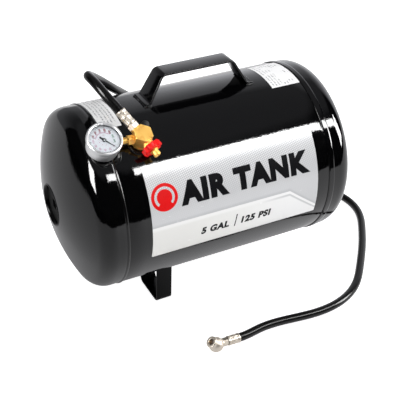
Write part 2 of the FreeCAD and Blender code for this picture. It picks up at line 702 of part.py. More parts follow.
def gauge():
    """The pressure gauge: case, bezel, lens and dial outside, and the movement behind the dial."""
    inner = "case_radius - 1"
    floor = "case_bottom + 1"
    case = turned("case_cup", (
        ("0", "case_bottom"),
        ("case_radius - 1.5", "case_bottom"),
        ("case_radius", "case_bottom + 1.5"),
        ("case_radius", "case_top"),
        (inner, "case_top"),
        (inner, floor),
        ("0", floor),
    ), GAUGE)
    neck = cylinder("socket_neck", "case_radius")
    neck.Placement = GAUGE * frame(Vector(0, 0, size("gauge_height")), ALONG, UP)
    node(cut(case, neck), "gauge_case")

    node(turned("bezel_ring", (
        ("case_radius", "case_top - 3.5"),
        ("bezel_radius - 0.4", "case_top - 3.5"),
        ("bezel_radius", "case_top - 3"),
        ("bezel_radius", "bezel_top - 1"),
        ("bezel_radius - 1", "bezel_top"),
        ("dial_radius + 0.8", "bezel_top - 0.2"),
        ("dial_radius", "bezel_top - 1.2"),
        ("dial_radius", "bezel_top - 2"),
        ("dial_radius + 1", "bezel_top - 2"),
        ("dial_radius + 1", "case_top"),
        ("case_radius", "case_top"),
    )), "gauge_bezel", GAUGE)
    node(turned("lens_disc", (
        ("0", "case_top"),
        ("dial_radius + 1", "case_top"),
        ("dial_radius + 1", "bezel_top - 2"),
        ("0", "bezel_top - 2"),
    )), "gauge_lens", GAUGE)
    node(turned("dial_disc", ring_corners("shaft_radius + 0.4", "case_radius - 1", "dial_height",
                                          "dial_height + 0.6")), "gauge_dial", GAUGE)

    pointer_turn = GAUGE * Placement(Vector(), Rotation(UP, POINTER_REST))
    shaft = cylinder("shaft_radius", "case_top - case_bottom - 4.4")
    shaft.Placement = pointer_turn * Placement(Vector(0, 0, size("case_bottom") + 4), Rotation())
    pinion = cylinder("pinion_radius - tooth_gap", "2")
    pinion.Placement = pointer_turn * Placement(Vector(0, 0, MOVEMENT_HEIGHT), Rotation())
    hub = cylinder("2", "0.9")
    hub.Placement = pointer_turn * Placement(Vector(0, 0, size("dial_height") + 1), Rotation())
    needle = doc.addObject("Part::Wedge", "needle")
    needle.Xmin = -POINTER_TAIL
    bind(needle, "Xmax", "dial_radius - 4.6")
    needle.X2min = -POINTER_TAIL
    bind(needle, "X2max", "dial_radius - 4.6")
    needle.Ymin = 0
    needle.Ymax = 0.5
    needle.Zmin = -0.45
    needle.Zmax = 0.45
    needle.Z2min = -0.45
    needle.Z2max = 0.45
    needle.Placement = pointer_turn * Placement(
        Vector(0, 0, size("dial_height") + 1.2), Rotation(ALONG, 90))
    node(fused(shaft, pinion, hub, needle), "gauge_pointer")

    plate = turned("movement_plate", (
        ("shaft_radius + running_gap", "case_bottom + 2.6"),
        ("12", "case_bottom + 2.6"),
        ("12", "case_bottom + 3.6"),
        ("shaft_radius + running_gap", "case_bottom + 3.6"),
    ), GAUGE)
    bridge = cylinder("2.5", "1.6")
    bridge.Placement = GAUGE * Placement(Vector(0, 0, size("case_bottom") + 1), Rotation())
    post = cylinder("shaft_radius", "7")
    post.Placement = GAUGE * Placement(
        Vector(0, size("sector_radius") + size("pinion_radius"), size("case_bottom") + 3), Rotation())
    node(fused(plate, bridge, post), "gauge_movement")

    sector = doc.addObject("Part::Cylinder", "sector")
    bind(sector, "Radius", "sector_radius - tooth_gap")
    sector.Height = 1.4
    sector.Angle = SECTOR_SPREAD
    pivot = GAUGE * Placement(
        Vector(0, size("sector_radius") + size("pinion_radius"), MOVEMENT_HEIGHT + 0.3),
        Rotation(UP, SECTOR_START))
    sector.Placement = pivot
    sector_hub = cylinder("2", "2")
    sector_hub.Placement = pivot
    eye = cylinder("shaft_radius + running_gap", "6")
    eye.Placement = pivot * Placement(Vector(0, 0, -2), Rotation())
    node(cut(fused(sector, sector_hub), eye), "sector_gear")

    socket_place = GAUGE_PORT
    face = size("manifold_flats") / 2
    thread = cylinder("small_thread", "thread_reach")
    thread.Placement = socket_place * Placement(Vector(0, 0, face - size("thread_reach")), Rotation())
    flats = hexagon("socket_flats", "socket_hexagon", face, socket_place)
    neck_out = cylinder("socket_neck", "gauge_distance - manifold_flats / 2 - socket_hexagon - case_radius + 1")
    neck_out.Placement = socket_place * Placement(Vector(0, 0, face + size("socket_hexagon")), Rotation())
    block_start = size("gauge_distance") - size("case_radius") + 1
    block = doc.addObject("Part::Box", "socket_block")
    bind(block, "Length", "2 * socket_block")
    bind(block, "Width", "2 * socket_block")
    bind(block, "Height", "2 * socket_block")
    block.Placement = socket_place * Placement(
        Vector(-size("socket_block"), -size("socket_block"), block_start), Rotation())
    bore = cylinder("1.2", "gauge_distance - case_radius + 3")
    bore.Placement = socket_place
    socket = node(cut(fused(thread, flats, neck_out, block), bore), "gauge_socket")

    tube = doc.addObject("Part::Torus", "tube")
    bind(tube, "Radius1", "tube_radius")
    tube.Radius2 = 1.1
    tube.Angle3 = TUBE_SWEEP
    tube.Placement = GAUGE * Placement(Vector(0, 0, size("gauge_height")), Rotation(UP, TUBE_START))
    node(cut(tube, socket), "bourdon_tube")


# ---------------------------------------------------------------- shut-off valve

def shut_off_valve():
    """A hand wheel on a brass spindle that presses a rubber disc on the seat inside the manifold."""
    face = size("manifold_flats") / 2
    seat = face + size("valve_collar")
    bonnet_thread = cylinder("bonnet_thread", "thread_reach + valve_collar", VALVE_PORT, face - size("thread_reach"))
    flats = hexagon("bonnet_flats", "bonnet_hexagon", seat, VALVE_PORT)
    bore = cylinder("spindle_radius + running_gap", "30", place=VALVE_PORT)
    groove = cylinder("spindle_radius + seal_wire * 2 + 0.1", "seal_wire * 2 + 0.2")
    groove.Placement = VALVE_PORT * Placement(Vector(0, 0, face - 1), Rotation())
    node(cut(fused(bonnet_thread, flats), bore, groove), "valve_bonnet")

    seal = doc.addObject("Part::Torus", "seal_ring")
    bind(seal, "Radius1", "spindle_radius + seal_wire + 0.06")
    bind(seal, "Radius2", "seal_wire")
    middle = face - 1 + size("seal_wire") + 0.1
    node(seal, "valve_seal", VALVE_PORT * Placement(Vector(0, 0, middle), Rotation()))

    disc = cylinder("disc_radius", "disc_thickness")
    node(disc, "valve_disc", VALVE_PORT * Placement(Vector(0, 0, disc_start()), Rotation()))

    back = disc_start() + size("disc_thickness")
    node(turned("spindle_bar", (
        ("0", "%.3f" % (back + 0.02)),
        ("spindle_radius", "%.3f" % (back + 0.02)),
        ("spindle_radius", "knob_start + knob_thickness + nose_length - 2.5"),
        ("0", "knob_start + knob_thickness + nose_length - 2.5"),
    )), "valve_spindle", VALVE_PORT)

    wheel = cylinder("knob_radius", "knob_thickness")
    wheel.Placement = VALVE_PORT * Placement(Vector(0, 0, size("knob_start")), Rotation())
    tools = [cylinder("spindle_radius", "60", place=VALVE_PORT)]
    lobes = int(size("knob_lobes"))
    for lobe in range(lobes):
        notch = cylinder("notch_radius", "2 * knob_thickness")
        turn = Placement(Vector(0, 0, size("knob_start") - 4), Rotation(UP, 360.0 * lobe / lobes))
        reach = Placement(Vector(size("knob_radius") + 0.35 * size("notch_radius"), 0, 0), Rotation())
        notch.Placement = VALVE_PORT * turn * reach
        tools.append(notch)
    node(cut(wheel, *tools), "valve_knob")

    nut = turned("nose_nut", (
        ("spindle_radius", "knob_start + knob_thickness"),
        ("nose_radius", "knob_start + knob_thickness"),
        ("nose_radius", "knob_start + knob_thickness + nose_length - 1"),
        ("nose_radius - 1", "knob_start + knob_thickness + nose_length"),
        ("0", "knob_start + knob_thickness + nose_length"),
        ("0", "knob_start + knob_thickness + nose_length - 2.5"),
        ("spindle_radius", "knob_start + knob_thickness + nose_length - 2.5"),
    ), VALVE_PORT)
    slot = doc.addObject("Part::Box", "nut_slot")
    slot.Length = 20
    slot.Width = 1.6
    slot.Height = 4
    top = size("knob_start") + size("knob_thickness") + size("nose_length")
    slot.Placement = VALVE_PORT * Placement(Vector(-10, -0.8, top - 1.6), Rotation())
    node(cut(nut, slot), "knob_nut")


def disc_start():
    """The valve disc's sealing face from the manifold axis, just clear of its seat."""
    return size("manifold_flats") / 2 - 2 * size("thread_reach") + 0.05


# ---------------------------------------------------------------- fill valve

def fill_valve():
    """A tank valve: threaded stem, screwed-in core with a sprung pin, and a dust cap."""
    face = "manifold_flats / 2"
    stem = turned("fill_stem", (
        ("1.6", f"{face} - thread_reach"),
        ("small_thread", f"{face} - thread_reach"),
        ("small_thread", face),
        ("stem_radius", face),
        ("stem_radius", "stem_end - 0.5"),
        ("stem_radius - 0.5", "stem_end"),
        ("core_radius", "stem_end"),
        ("core_radius", f"{face} + 1"),
        ("1.6", f"{face} + 1"),
    ), FILL_PORT)
    flats = hexagon("fill_flats", "fill_hexagon", size("manifold_flats") / 2, FILL_PORT)
    hollow = cylinder("core_radius", "20")
    hollow.Placement = FILL_PORT * Placement(Vector(0, 0, size("manifold_flats") / 2 + 1), Rotation())
    way = cylinder("1.6", "20")
    way.Placement = FILL_PORT
    node(cut(fused(stem, flats), hollow, way), "fill_valve_body")

    node(turned("core_sleeve", (
        ("pin_radius + running_gap", f"{face} + 6"),
        ("core_radius", f"{face} + 6"),
        ("core_radius", "stem_end - 2"),
        ("pin_radius + running_gap", "stem_end - 2"),
    )), "fill_valve_core", FILL_PORT)
    node(turned("core_pin", (
        ("0", f"{face} + 4.4"),
        ("1.8", f"{face} + 4.4"),
        ("1.8", f"{face} + 5.95"),
        ("pin_radius", f"{face} + 5.95"),
        ("pin_radius", "stem_end - 0.4"),
        ("0", "stem_end - 0.4"),
    )), "fill_valve_pin", FILL_PORT)
    start = size("manifold_flats") / 2 + 1.3
    coil("fill_valve_spring", 1.4, 0.2, 2.8, 3.5, FILL_PORT * Placement(Vector(0, 0, start), Rotation()))
    node(turned("dust_cap", (
        ("stem_radius + running_gap", "cap_start"),
        ("cap_radius", "cap_start"),
        ("cap_radius", "stem_end + 1.5"),
        ("cap_radius - 1", "stem_end + 2.5"),
        ("0", "stem_end + 2.5"),
        ("0", "stem_end + 0.3"),
        ("stem_radius + running_gap", "stem_end + 0.3"),
    )), "fill_valve_cap", FILL_PORT)


# ---------------------------------------------------------------- hose and chuck

def hose():
    """The rubber hose: one round tube swept along its loop, pushed over a barb at each end."""
    start = HOSE_PORT.multVec(Vector(0, 0, size("hose_start")))
    leave = HOSE_PORT.multVec(Vector(0, 0, size("tank_ferrule_end") + 2))
    arrive = CHUCK_HOSE.multVec(Vector(0, 0, size("chuck_ferrule_end") + 2))
    end = CHUCK_HOSE.multVec(Vector(0, 0, size("chuck_neck") + 0.5))
    first = (leave - start).normalize()
    last = (end - arrive).normalize()
    points = [leave] + [TANK.multVec(Vector(*point)) for point in HOSE_LOOP] + [arrive]
    travel = [0.0]
    for here, there in zip(points, points[1:]):
        travel.append(travel[-1] + here.distanceToPoint(there))
    curve = Part.BSplineCurve()
    curve.interpolate(Points=points, Parameters=travel, InitialTangent=first, FinalTangent=last, Scale=False)
    loop = Part.Wire([curve.toShape()])
    skins = []
    for radius in (size("hose_radius"), size("hose_bore")):
        circle = Part.Wire([Part.Circle(leave, first, radius).toShape()])
        bent = loop.makePipeShell([circle], True, True)
        tank_end = Part.makeCylinder(radius, start.distanceToPoint(leave), start, first)
        chuck_end = Part.makeCylinder(radius, arrive.distanceToPoint(end), arrive, last)
        skins.append(bent.fuse([tank_end, chuck_end]))
    tube = doc.addObject("Part::Feature", "hose_tube")
    tube.Shape = skins[0].cut(skins[1])
    node(tube, "hose")


def barbed_fitting(label, place, thread_from, thread_to, flats, hexagon_to, barb_to):
    """A plated fitting: pipe thread, hexagon and a barb inside the hose."""
    thread = cylinder("small_thread", f"{thread_to - thread_from}")
    thread.Placement = place * Placement(Vector(0, 0, thread_from), Rotation())
    nut = hexagon(flats, f"{hexagon_to - thread_to}", thread_to, place)
    barb = cylinder("hose_bore", f"{barb_to - hexagon_to}")
    barb.Placement = place * Placement(Vector(0, 0, hexagon_to), Rotation())
    bore = cylinder("passage", f"{2 * barb_to}", place=place)
    node(cut(fused(thread, nut, barb), bore), label)


def ferrule(label, place, start, end):
    """A crimped sleeve around the hose, waisted by two crimp grooves."""
    length = end - start
    body = turned(f"{label}_sleeve", (
        ("hose_radius", f"{start}"),
        ("ferrule_radius - 0.5", f"{start}"),
        ("ferrule_radius", f"{start + 0.5}"),
        ("ferrule_radius", f"{start + 0.28 * length}"),
        ("ferrule_radius - 0.6", f"{start + 0.32 * length}"),
        ("ferrule_radius - 0.6", f"{start + 0.42 * length}"),
        ("ferrule_radius", f"{start + 0.46 * length}"),
        ("ferrule_radius", f"{start + 0.58 * length}"),
        ("ferrule_radius - 0.6", f"{start + 0.62 * length}"),
        ("ferrule_radius - 0.6", f"{start + 0.72 * length}"),
        ("ferrule_radius", f"{start + 0.76 * length}"),
        ("ferrule_radius", f"{end - 0.5}"),
        ("ferrule_radius - 0.5", f"{end}"),
        ("hose_radius", f"{end}"),
    ))
    node(body, label, place)


def hose_ends():
    face = size("manifold_flats") / 2
    start = size("hose_start")
    thread_start = face - size("thread_reach") + size("hose_collar")
    barbed_fitting("hose_fitting", HOSE_PORT, thread_start, face + size("hose_collar"), "fitting_flats",
                   start, size("tank_ferrule_end") - 2)
    ferrule("manifold_ferrule", HOSE_PORT, start + 0.5, size("tank_ferrule_end"))
    barbed_fitting("chuck_fitting", CHUCK_HOSE, CHUCK_SOCKET, 10.5, "chuck_flats", size("chuck_neck"),
                   size("chuck_ferrule_end") - 2)
    ferrule("chuck_ferrule", CHUCK_HOSE, size("chuck_neck") + 0.5, size("chuck_ferrule_end"))


def chuck():
    """A ball-foot air chuck: a sprung pin opens when the mouth is pressed on a tyre valve."""
    ball = doc.addObject("Part::Sphere", "ball")
    bind(ball, "Radius", "ball_radius")
    ball.Placement = CHUCK_MOUTH
    mouth = cylinder("mouth_radius", "mouth_length", place=CHUCK_MOUTH)
    bore = cylinder("mouth_bore", "mouth_length")
    bore.Placement = CHUCK_MOUTH * Placement(Vector(0, 0, SEAL_TOP), Rotation())
    seal_seat = cylinder("mouth_bore + 0.8", f"{SEAL_TOP - SEAL_BOTTOM}")
    seal_seat.Placement = CHUCK_MOUTH * Placement(Vector(0, 0, SEAL_BOTTOM), Rotation())
    throat = cylinder("1.5", "6")
    throat.Placement = CHUCK_MOUTH * Placement(Vector(0, 0, -2.5), Rotation())
    chamber = cylinder("2.7", "6")
    chamber.Placement = CHUCK_MOUTH * Placement(Vector(0, 0, -8), Rotation())
    socket = cylinder("small_thread", "10")
    socket.Placement = CHUCK_HOSE * Placement(Vector(0, 0, CHUCK_SOCKET), Rotation())
    way = cylinder("passage", f"{CHUCK_SOCKET + 0.5}", place=CHUCK_HOSE * Placement(Vector(-3, 0, 0), Rotation()))
    node(cut(fused(ball, mouth), bore, seal_seat, throat, chamber, socket, way), "chuck_body")

    node(turned("seal_washer", ring_corners("1.6", "mouth_bore + 0.8", f"{SEAL_BOTTOM}", f"{SEAL_TOP}")),
         "chuck_seal", CHUCK_MOUTH)
    node(turned("chuck_plunger", (
        ("0", "-4.2"),
        ("2.4", "-4.2"),
        ("2.4", "-2.05"),
        ("1.1", "-2.05"),
        ("1.1", f"{SEAL_TOP - 0.2}"),
        ("0", f"{SEAL_TOP - 0.2}"),
    )), "chuck_pin", CHUCK_MOUTH)
    coil("chuck_spring", 1.7, 0.2, 2.8, 3.5, CHUCK_MOUTH * Placement(Vector(0, 0, -7.3), Rotation()))


# ---------------------------------------------------------------- the model

def check(parts):
    """Stops before anything is written if a feature failed or a sub-part isn't sound."""
    for item in doc.Objects:
        if "Invalid" in item.State or "Error" in item.State:
            raise RuntimeError(f"{item.Label} is {item.State}")
    for label, item in parts.items():
        shape = item.Shape
        if shape.isNull() or not shape.isValid() or not shape.Solids:
            raise RuntimeError(f"{label} has no valid solid")


def main():
    vessel()
    seam_welds()
    manifold_boss()
    head_port()
    handle()
    foot()
    labels()
    manifold_body()
    gauge()
    shut_off_valve()
    fill_valve()
    hose()
    hose_ends()
    chuck()
    doc.recompute()
    check(nodes)
    os.makedirs("parts", exist_ok=True)
    for label, item in nodes.items():
        item.Shape.exportStep(f"parts/{label}.step")


main()
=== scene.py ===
import json
import random
from math import acos, asin, atan2, ceil, cos, dist, hypot, pi, radians, sin, sqrt, tan

import bmesh
import bpy
import numpy as np
from mathutils import Matrix, Vector


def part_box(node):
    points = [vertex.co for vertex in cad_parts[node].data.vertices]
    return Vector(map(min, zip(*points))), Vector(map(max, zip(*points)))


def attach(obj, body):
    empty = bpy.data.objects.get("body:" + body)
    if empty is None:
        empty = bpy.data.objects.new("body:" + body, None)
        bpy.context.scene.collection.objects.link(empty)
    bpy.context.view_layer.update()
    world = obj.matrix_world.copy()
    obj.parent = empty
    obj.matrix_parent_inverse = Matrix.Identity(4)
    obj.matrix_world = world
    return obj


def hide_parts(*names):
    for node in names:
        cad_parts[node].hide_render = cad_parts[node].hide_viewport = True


# The looks of a portable compressed-air tank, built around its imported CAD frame.
# Lengths inside the builders are millimetres; a piece's frame turns them into the row frame's metres.

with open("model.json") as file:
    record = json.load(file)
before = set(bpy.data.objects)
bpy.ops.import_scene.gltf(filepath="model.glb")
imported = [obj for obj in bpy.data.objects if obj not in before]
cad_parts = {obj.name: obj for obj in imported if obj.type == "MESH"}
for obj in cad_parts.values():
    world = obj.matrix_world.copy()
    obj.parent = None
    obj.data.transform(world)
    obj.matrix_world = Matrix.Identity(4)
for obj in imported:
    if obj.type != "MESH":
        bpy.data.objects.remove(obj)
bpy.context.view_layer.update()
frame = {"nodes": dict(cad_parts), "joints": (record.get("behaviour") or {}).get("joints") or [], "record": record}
record = frame["record"]
joints = {joint["name"]: joint for joint in frame["joints"]}

MM = 0.001
STEEL = 3.0  # the handle's and foot's thickness
ALONG = Vector((1, 0, 0))
UP = Vector((0, 0, 1))


# ---------------------------------------------------------------- frames

def facing(origin, z_axis, x_hint):
    """A frame at origin with Z along z_axis and X as near x_hint as it can be."""
    z = Vector(z_axis).normalized()
    hint = Vector(x_hint)
    x = (hint - z * z.dot(hint)).normalized()
    turn = Matrix((x, z.cross(x), z)).transposed().to_4x4()
    turn.translation = Vector(origin)
    return turn


def frame_at(origin, z_axis, x_hint):
    """The same frame for lengths in millimetres."""
    return facing(origin, z_axis, x_hint) @ Matrix.Scale(MM, 4)


shell_low, shell_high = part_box("tank_shell")
RADIUS = (shell_high.y - shell_low.y) / 2 / MM
HALF = (shell_high.x - shell_low.x) / 2 / MM
TANK_CENTRE = (shell_low + shell_high) / 2
TANK_CENTRE.y = 0.0
TANK_CENTRE.z = shell_high.z - RADIUS * MM
TANK = Matrix.Translation(TANK_CENTRE) @ Matrix.Scale(MM, 4)


def joint_axis(name, sign=1.0):
    return Vector(joints[name]["axis"]).normalized() * sign


DIAL_HEIGHT = 22.6
GAUGE_REACH = 51.0
GAUGE_HEIGHT = 12.5
HOSE_HEIGHT = 16.5
VALVE_HEIGHT = 16.5
FILL_HEIGHT = 11.5
FACE = 22.5 / 2  # from the brass block's axis to its flats
MANIFOLD_TOP = 25.5
VALVE_ANGLE = -68.0
MOUTH_REACH = 8.5  # from the chuck's ball centre to the middle of its bore
out = joint_axis("pointer_sweep", -1)
valve_out = joint_axis("valve_turn")
manifold_x = Matrix.Rotation(radians(-VALVE_ANGLE), 4, out) @ valve_out
gauge_centre = Vector(joints["pointer_sweep"]["pos_m"]) - out * DIAL_HEIGHT * MM
MANIFOLD = frame_at(gauge_centre + manifold_x * GAUGE_REACH * MM, out, manifold_x)
GAUGE = frame_at(gauge_centre, out, manifold_x)


def port(degrees, height, tilt=0.0):
    """A frame on the manifold's axis at this height, Z out through the face at this angle."""
    turn = radians(degrees)
    rise = radians(tilt)
    away = Vector((cos(turn) * cos(rise), sin(turn) * cos(rise), sin(rise)))
    base = MANIFOLD.to_3x3().normalized()
    return frame_at(MANIFOLD @ Vector((0, 0, height)), base @ away, out)


GAUGE_PORT = port(180, GAUGE_HEIGHT)
HOSE_PORT = port(120, HOSE_HEIGHT, 12)
VALVE_PORT = port(VALVE_ANGLE, VALVE_HEIGHT)
FILL_PORT = port(60, FILL_HEIGHT)

mouth_out = joint_axis("chuck_press", -1)
mouth = next(m for m in record["mounts"] if m["name"] == "chuck_mouth")
ball_centre = Vector(mouth["pos_m"]) - mouth_out * MOUTH_REACH * MM
HOSE_LINE = Vector((1.0, 0.03, -0.07)).normalized()
CHUCK_MOUTH = frame_at(ball_centre, mouth_out, HOSE_LINE.cross(UP))
CHUCK_HOSE = frame_at(ball_centre, HOSE_LINE, UP)


# ---------------------------------------------------------------- mesh builders

def rounded(corners, closed=False, steps=3):
    """A polyline through (x, y, radius) corners with each corner turned into an arc."""
    points = []
    count = len(corners)
    for i, (x, y, radius) in enumerate(corners):
        here = np.array((x, y), float)
        if radius <= 0 or (not closed and i in (0, count - 1)):
            points.append(here)
            continue
        before = np.array(corners[i - 1][:2], float) - here
        after = np.array(corners[(i + 1) % count][:2], float) - here
        reach_a, reach_b = np.linalg.norm(before), np.linalg.norm(after)
        before, after = before / reach_a, after / reach_b
        angle = acos(max(-1.0, min(1.0, float(before @ after))))
        if angle > pi - 0.02:
            points.append(here)
            continue
        cut = min(radius / tan(angle / 2), 0.48 * reach_a, 0.48 * reach_b)
        real = cut * tan(angle / 2)
        middle = (before + after) / np.linalg.norm(before + after)
        centre = here + middle * real / sin(angle / 2)
        start, end = here + before * cut - centre, here + after * cut - centre
        sweep = pi - angle
        for k in range(steps + 1):
            t = k / steps
            points.append(centre + (sin((1 - t) * sweep) * start + sin(t * sweep) * end) / sin(sweep))
    return [tuple(p) for p in points]


def dense(points, longest):
    """The same closed outline with no side longer than this."""
    result = []
    for a, b in zip(points, points[1:] + points[:1]):
        a, b = np.array(a), np.array(b)
        count = max(1, ceil(np.linalg.norm(b - a) / longest))
        result += [tuple(a + (b - a) * k / count) for k in range(count)]
    return result


def circle(radius, z, count):
    """Points round Z; the radius may be a function of the point's number."""
    points = []
    for k in range(count):
        r = radius(k) if callable(radius) else radius
        points.append((r * cos(2 * pi * k / count), r * sin(2 * pi * k / count), z))
    return points


def arc_points(radius, start, stop, steps, x=0.0, y=0.0):
    """Points along an arc about (x, y), both ends included."""
    turns = [start + (stop - start) * k / steps for k in range(steps + 1)]
    return [(x + radius * cos(turn), y + radius * sin(turn)) for turn in turns]


def layer(outline, z, share=1.0):
    """A 2D outline scaled about its middle and lifted to a height."""
    return [(x * share, y * share, z) for x, y in outline]


def box_corners(x, y, edge):
    return (x, y, edge), (-x, y, edge), (-x, -y, edge), (x, -y, edge)


def on_circle(outline, radius):
    """The outline's points moved in or out to one radius."""
    return [(x * radius / hypot(x, y), y * radius / hypot(x, y)) for x, y in outline]


def rod(radius, low, high, edge, low_edge=0.0, steps=3):
    """The profile of a solid round bar with eased ends."""
    return rounded(((0, low, 0), (radius, low, low_edge), (radius, high, edge), (0, high, 0)), steps=steps)


class Form:
    """Grids of quads collected into one closed mesh."""

    def __init__(self):
        self.points = []
        self.faces = []
        self.loops = []

    def grid(self, rows, closed=True, loop=False, us=None, vs=None):
        """Rows of points; closed joins each row's ends, loop joins the last row to the first."""
        rows = np.asarray(rows, float)
        count, width = rows.shape[:2]
        base = len(self.points)
        self.points += [tuple(p) for row in rows for p in row]
        if us is None:
            steps = np.linalg.norm(np.diff(np.concatenate([rows, rows[:, :1]], 1), axis=1), axis=2).max(0)
            us = np.concatenate([[0], np.cumsum(steps)])
        if vs is None:
            steps = np.linalg.norm(np.diff(np.concatenate([rows, rows[:1]]), axis=0), axis=2).max(1)
            vs = np.concatenate([[0], np.cumsum(steps)])
        for i in range(count if loop else count - 1):
            for j in range(width if closed else width - 1):
                k, m = (j + 1) % width, (i + 1) % count
                here, above = base + i * width, base + m * width
                self.faces.append((here + j, here + k, above + k, above + j))
                (left, right), (low, high) = us[j:j + 2], vs[i:i + 2]
                self.loops.append(((left, low), (right, low), (right, high), (left, high)))
        return self

    def lathe(self, profile, segments=64, loop=False):
        """(radius, height) points turned about Z."""
        return self.grid([circle(r, z, segments) for r, z in profile], loop=loop)


def piece(name, form, place, finish, node="", body="tank", smooth=38.0):
    """Turns a form into a named piece: joined, turned outwards and shaded smooth."""
    work = bmesh.new()
    uv = work.loops.layers.uv.new("UVMap")
    verts = [work.verts.new(p) for p in form.points]
    for face, loops in zip(form.faces, form.loops):
        if len({form.points[i] for i in face}) < 3:
            continue
        made = work.faces.new([verts[i] for i in face])
        for loop, (u, v) in zip(made.loops, loops):
            loop[uv].uv = (u * MM, v * MM)
    bmesh.ops.remove_doubles(work, verts=work.verts, dist=1e-4)
    bmesh.ops.dissolve_degenerate(work, edges=work.edges, dist=1e-4)
    bmesh.ops.recalc_face_normals(work, faces=work.faces)
    add_piece(name, work, place, finish, node, body, smooth)


def linked(name, data):
    """A new object in the scene."""
    made = bpy.data.objects.new(name, data)
    bpy.context.scene.collection.objects.link(made)
    return made


def add_piece(name, work, place, finish, node, body, smooth):
    """Puts a finished mesh in its place, on its body, and hides the CAD node it stands for."""
    mesh = bpy.data.meshes.new(name)
    work.to_mesh(mesh)
    work.free()
    mesh.transform(place)
    mesh.shade_smooth()
    mesh.set_sharp_from_angle(angle=radians(smooth))
    mesh.materials.append(finish.data)
    made = linked(name, mesh)
    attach(made, body)
    if node:
        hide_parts(node)


def turned(name, profile, count, *where, closed=False, **looks):
    """A piece turned about Z from a (radius, height) profile."""
    piece(name, Form().lathe(profile, count, closed), *where, **looks)


def hexagon(flats, low, high, nip=1.02, bore=0.0):
    """A hexagonal bar with its end corners turned off outside nip times the inner circle."""
    corners = arc_points(flats / 2 / cos(pi / 6), pi / 6, 11 * pi / 6, 5)
    outline = dense(rounded([(x, y, 0.5) for x, y in corners], closed=True), flats / 14)
    turned_off = flats / 2 * nip

    def end(z, way):
        ring = [(x, y, z - way * (0.15 + 0.5 * max(0.0, hypot(x, y) - turned_off))) for x, y in outline]
        flat = []
        for x, y in outline:
            share = min(hypot(x, y) - 0.15, turned_off) / hypot(x, y)
            flat.append((x * share, y * share, z))
        return [ring, flat]

    bottom, top = layer(on_circle(outline, bore), low), layer(on_circle(outline, bore), high)
    return Form().grid([bottom] + end(low, -1)[::-1] + end(high, 1) + [top], loop=bore > 0)


def strap(path, side, widths):
    """A flat strap swept along 3D path points; side is its width's direction."""
    path = [Vector(p) for p in path]
    side = Vector(side)
    rows = []
    for i, here in enumerate(path):
        ahead = path[min(i + 1, len(path) - 1)]
        behind = path[max(i - 1, 0)]
        run = (ahead - behind).normalized()
        normal = run.cross(side).normalized()
        before = (here - behind).normalized() if i else run
        stretch = 1.0 / max(0.5, run.dot(before))
        section = rounded(box_corners(widths[i] / 2, STEEL / 2, 0.9), closed=True)
        rows.append([tuple(here + side * a + normal * b * stretch) for a, b in section])
    first, last = [tuple(path[0])] * len(rows[0]), [tuple(path[-1])] * len(rows[0])
    return Form().grid([first] + rows + [last])


def strap_path(right):
    """A strap's middle line from its right half's corners, with round bends and evenly split straights."""
    points = rounded([(-x, z, edge) for x, z, edge in reversed(right)] + right, steps=10)
    result = [points[0]]
    for a, b in zip(points, points[1:]):
        a, b = Vector(a), Vector(b)
        count = max(1, round((b - a).length / 6))
        result += [tuple(a + (b - a) * k / count) for k in range(1, count + 1)]
    return result


def tube_rows(path, radius, count=24):
    """Rings along a 3D path, carried without twist; the radius may be a list."""
    path = np.asarray(path, float)
    runs = np.gradient(path, axis=0)
    runs /= np.linalg.norm(runs, axis=1)[:, None]
    normal = np.cross(runs[0], (0.0, 0.0, 1.0))
    if np.linalg.norm(normal) < 1e-3:
        normal = np.cross(runs[0], (0.0, 1.0, 0.0))
    sizes = np.broadcast_to(radius, len(path))
    rows = []
    for here, run, size in zip(path, runs, sizes):
        normal = normal - run * (normal @ run)
        normal /= np.linalg.norm(normal)
        other = np.cross(run, normal)
        rows.append([here + x * normal + y * other for x, y, z in circle(size, 0, count)])
    return rows


def capped(rows):
    """Closes both ends of a tube at its middle line."""
    first = np.mean(rows[0], axis=0)
    last = np.mean(rows[-1], axis=0)
    return [[first] * len(rows[0])] + list(rows) + [[last] * len(rows[0])]


def weld_bead(name, path, radius, place, seed, node=""):
    """A run of weld: a bead with overlapping ripples along it and tapered ends."""
    rng = random.Random(seed)
    length = [0.0]
    for a, b in zip(path, path[1:]):
        length.append(length[-1] + dist(a, b))
    jitter = [rng.uniform(0.94, 1.07) for _ in path]
    sizes = []
    for i, s in enumerate(length):
        ripple = 0.5 + 0.5 * sin(2 * pi * s / 1.9)
        sizes.append(radius * (0.86 + 0.14 * ripple) * jitter[i])
    for k, factor in ((0, 0.45), (1, 0.8), (-1, 0.45), (-2, 0.8)):
        sizes[k] *= factor
    piece(name, Form().grid(capped(tube_rows(path, sizes, 12))), place, WELD, node, smooth=60)


# ---------------------------------------------------------------- materials

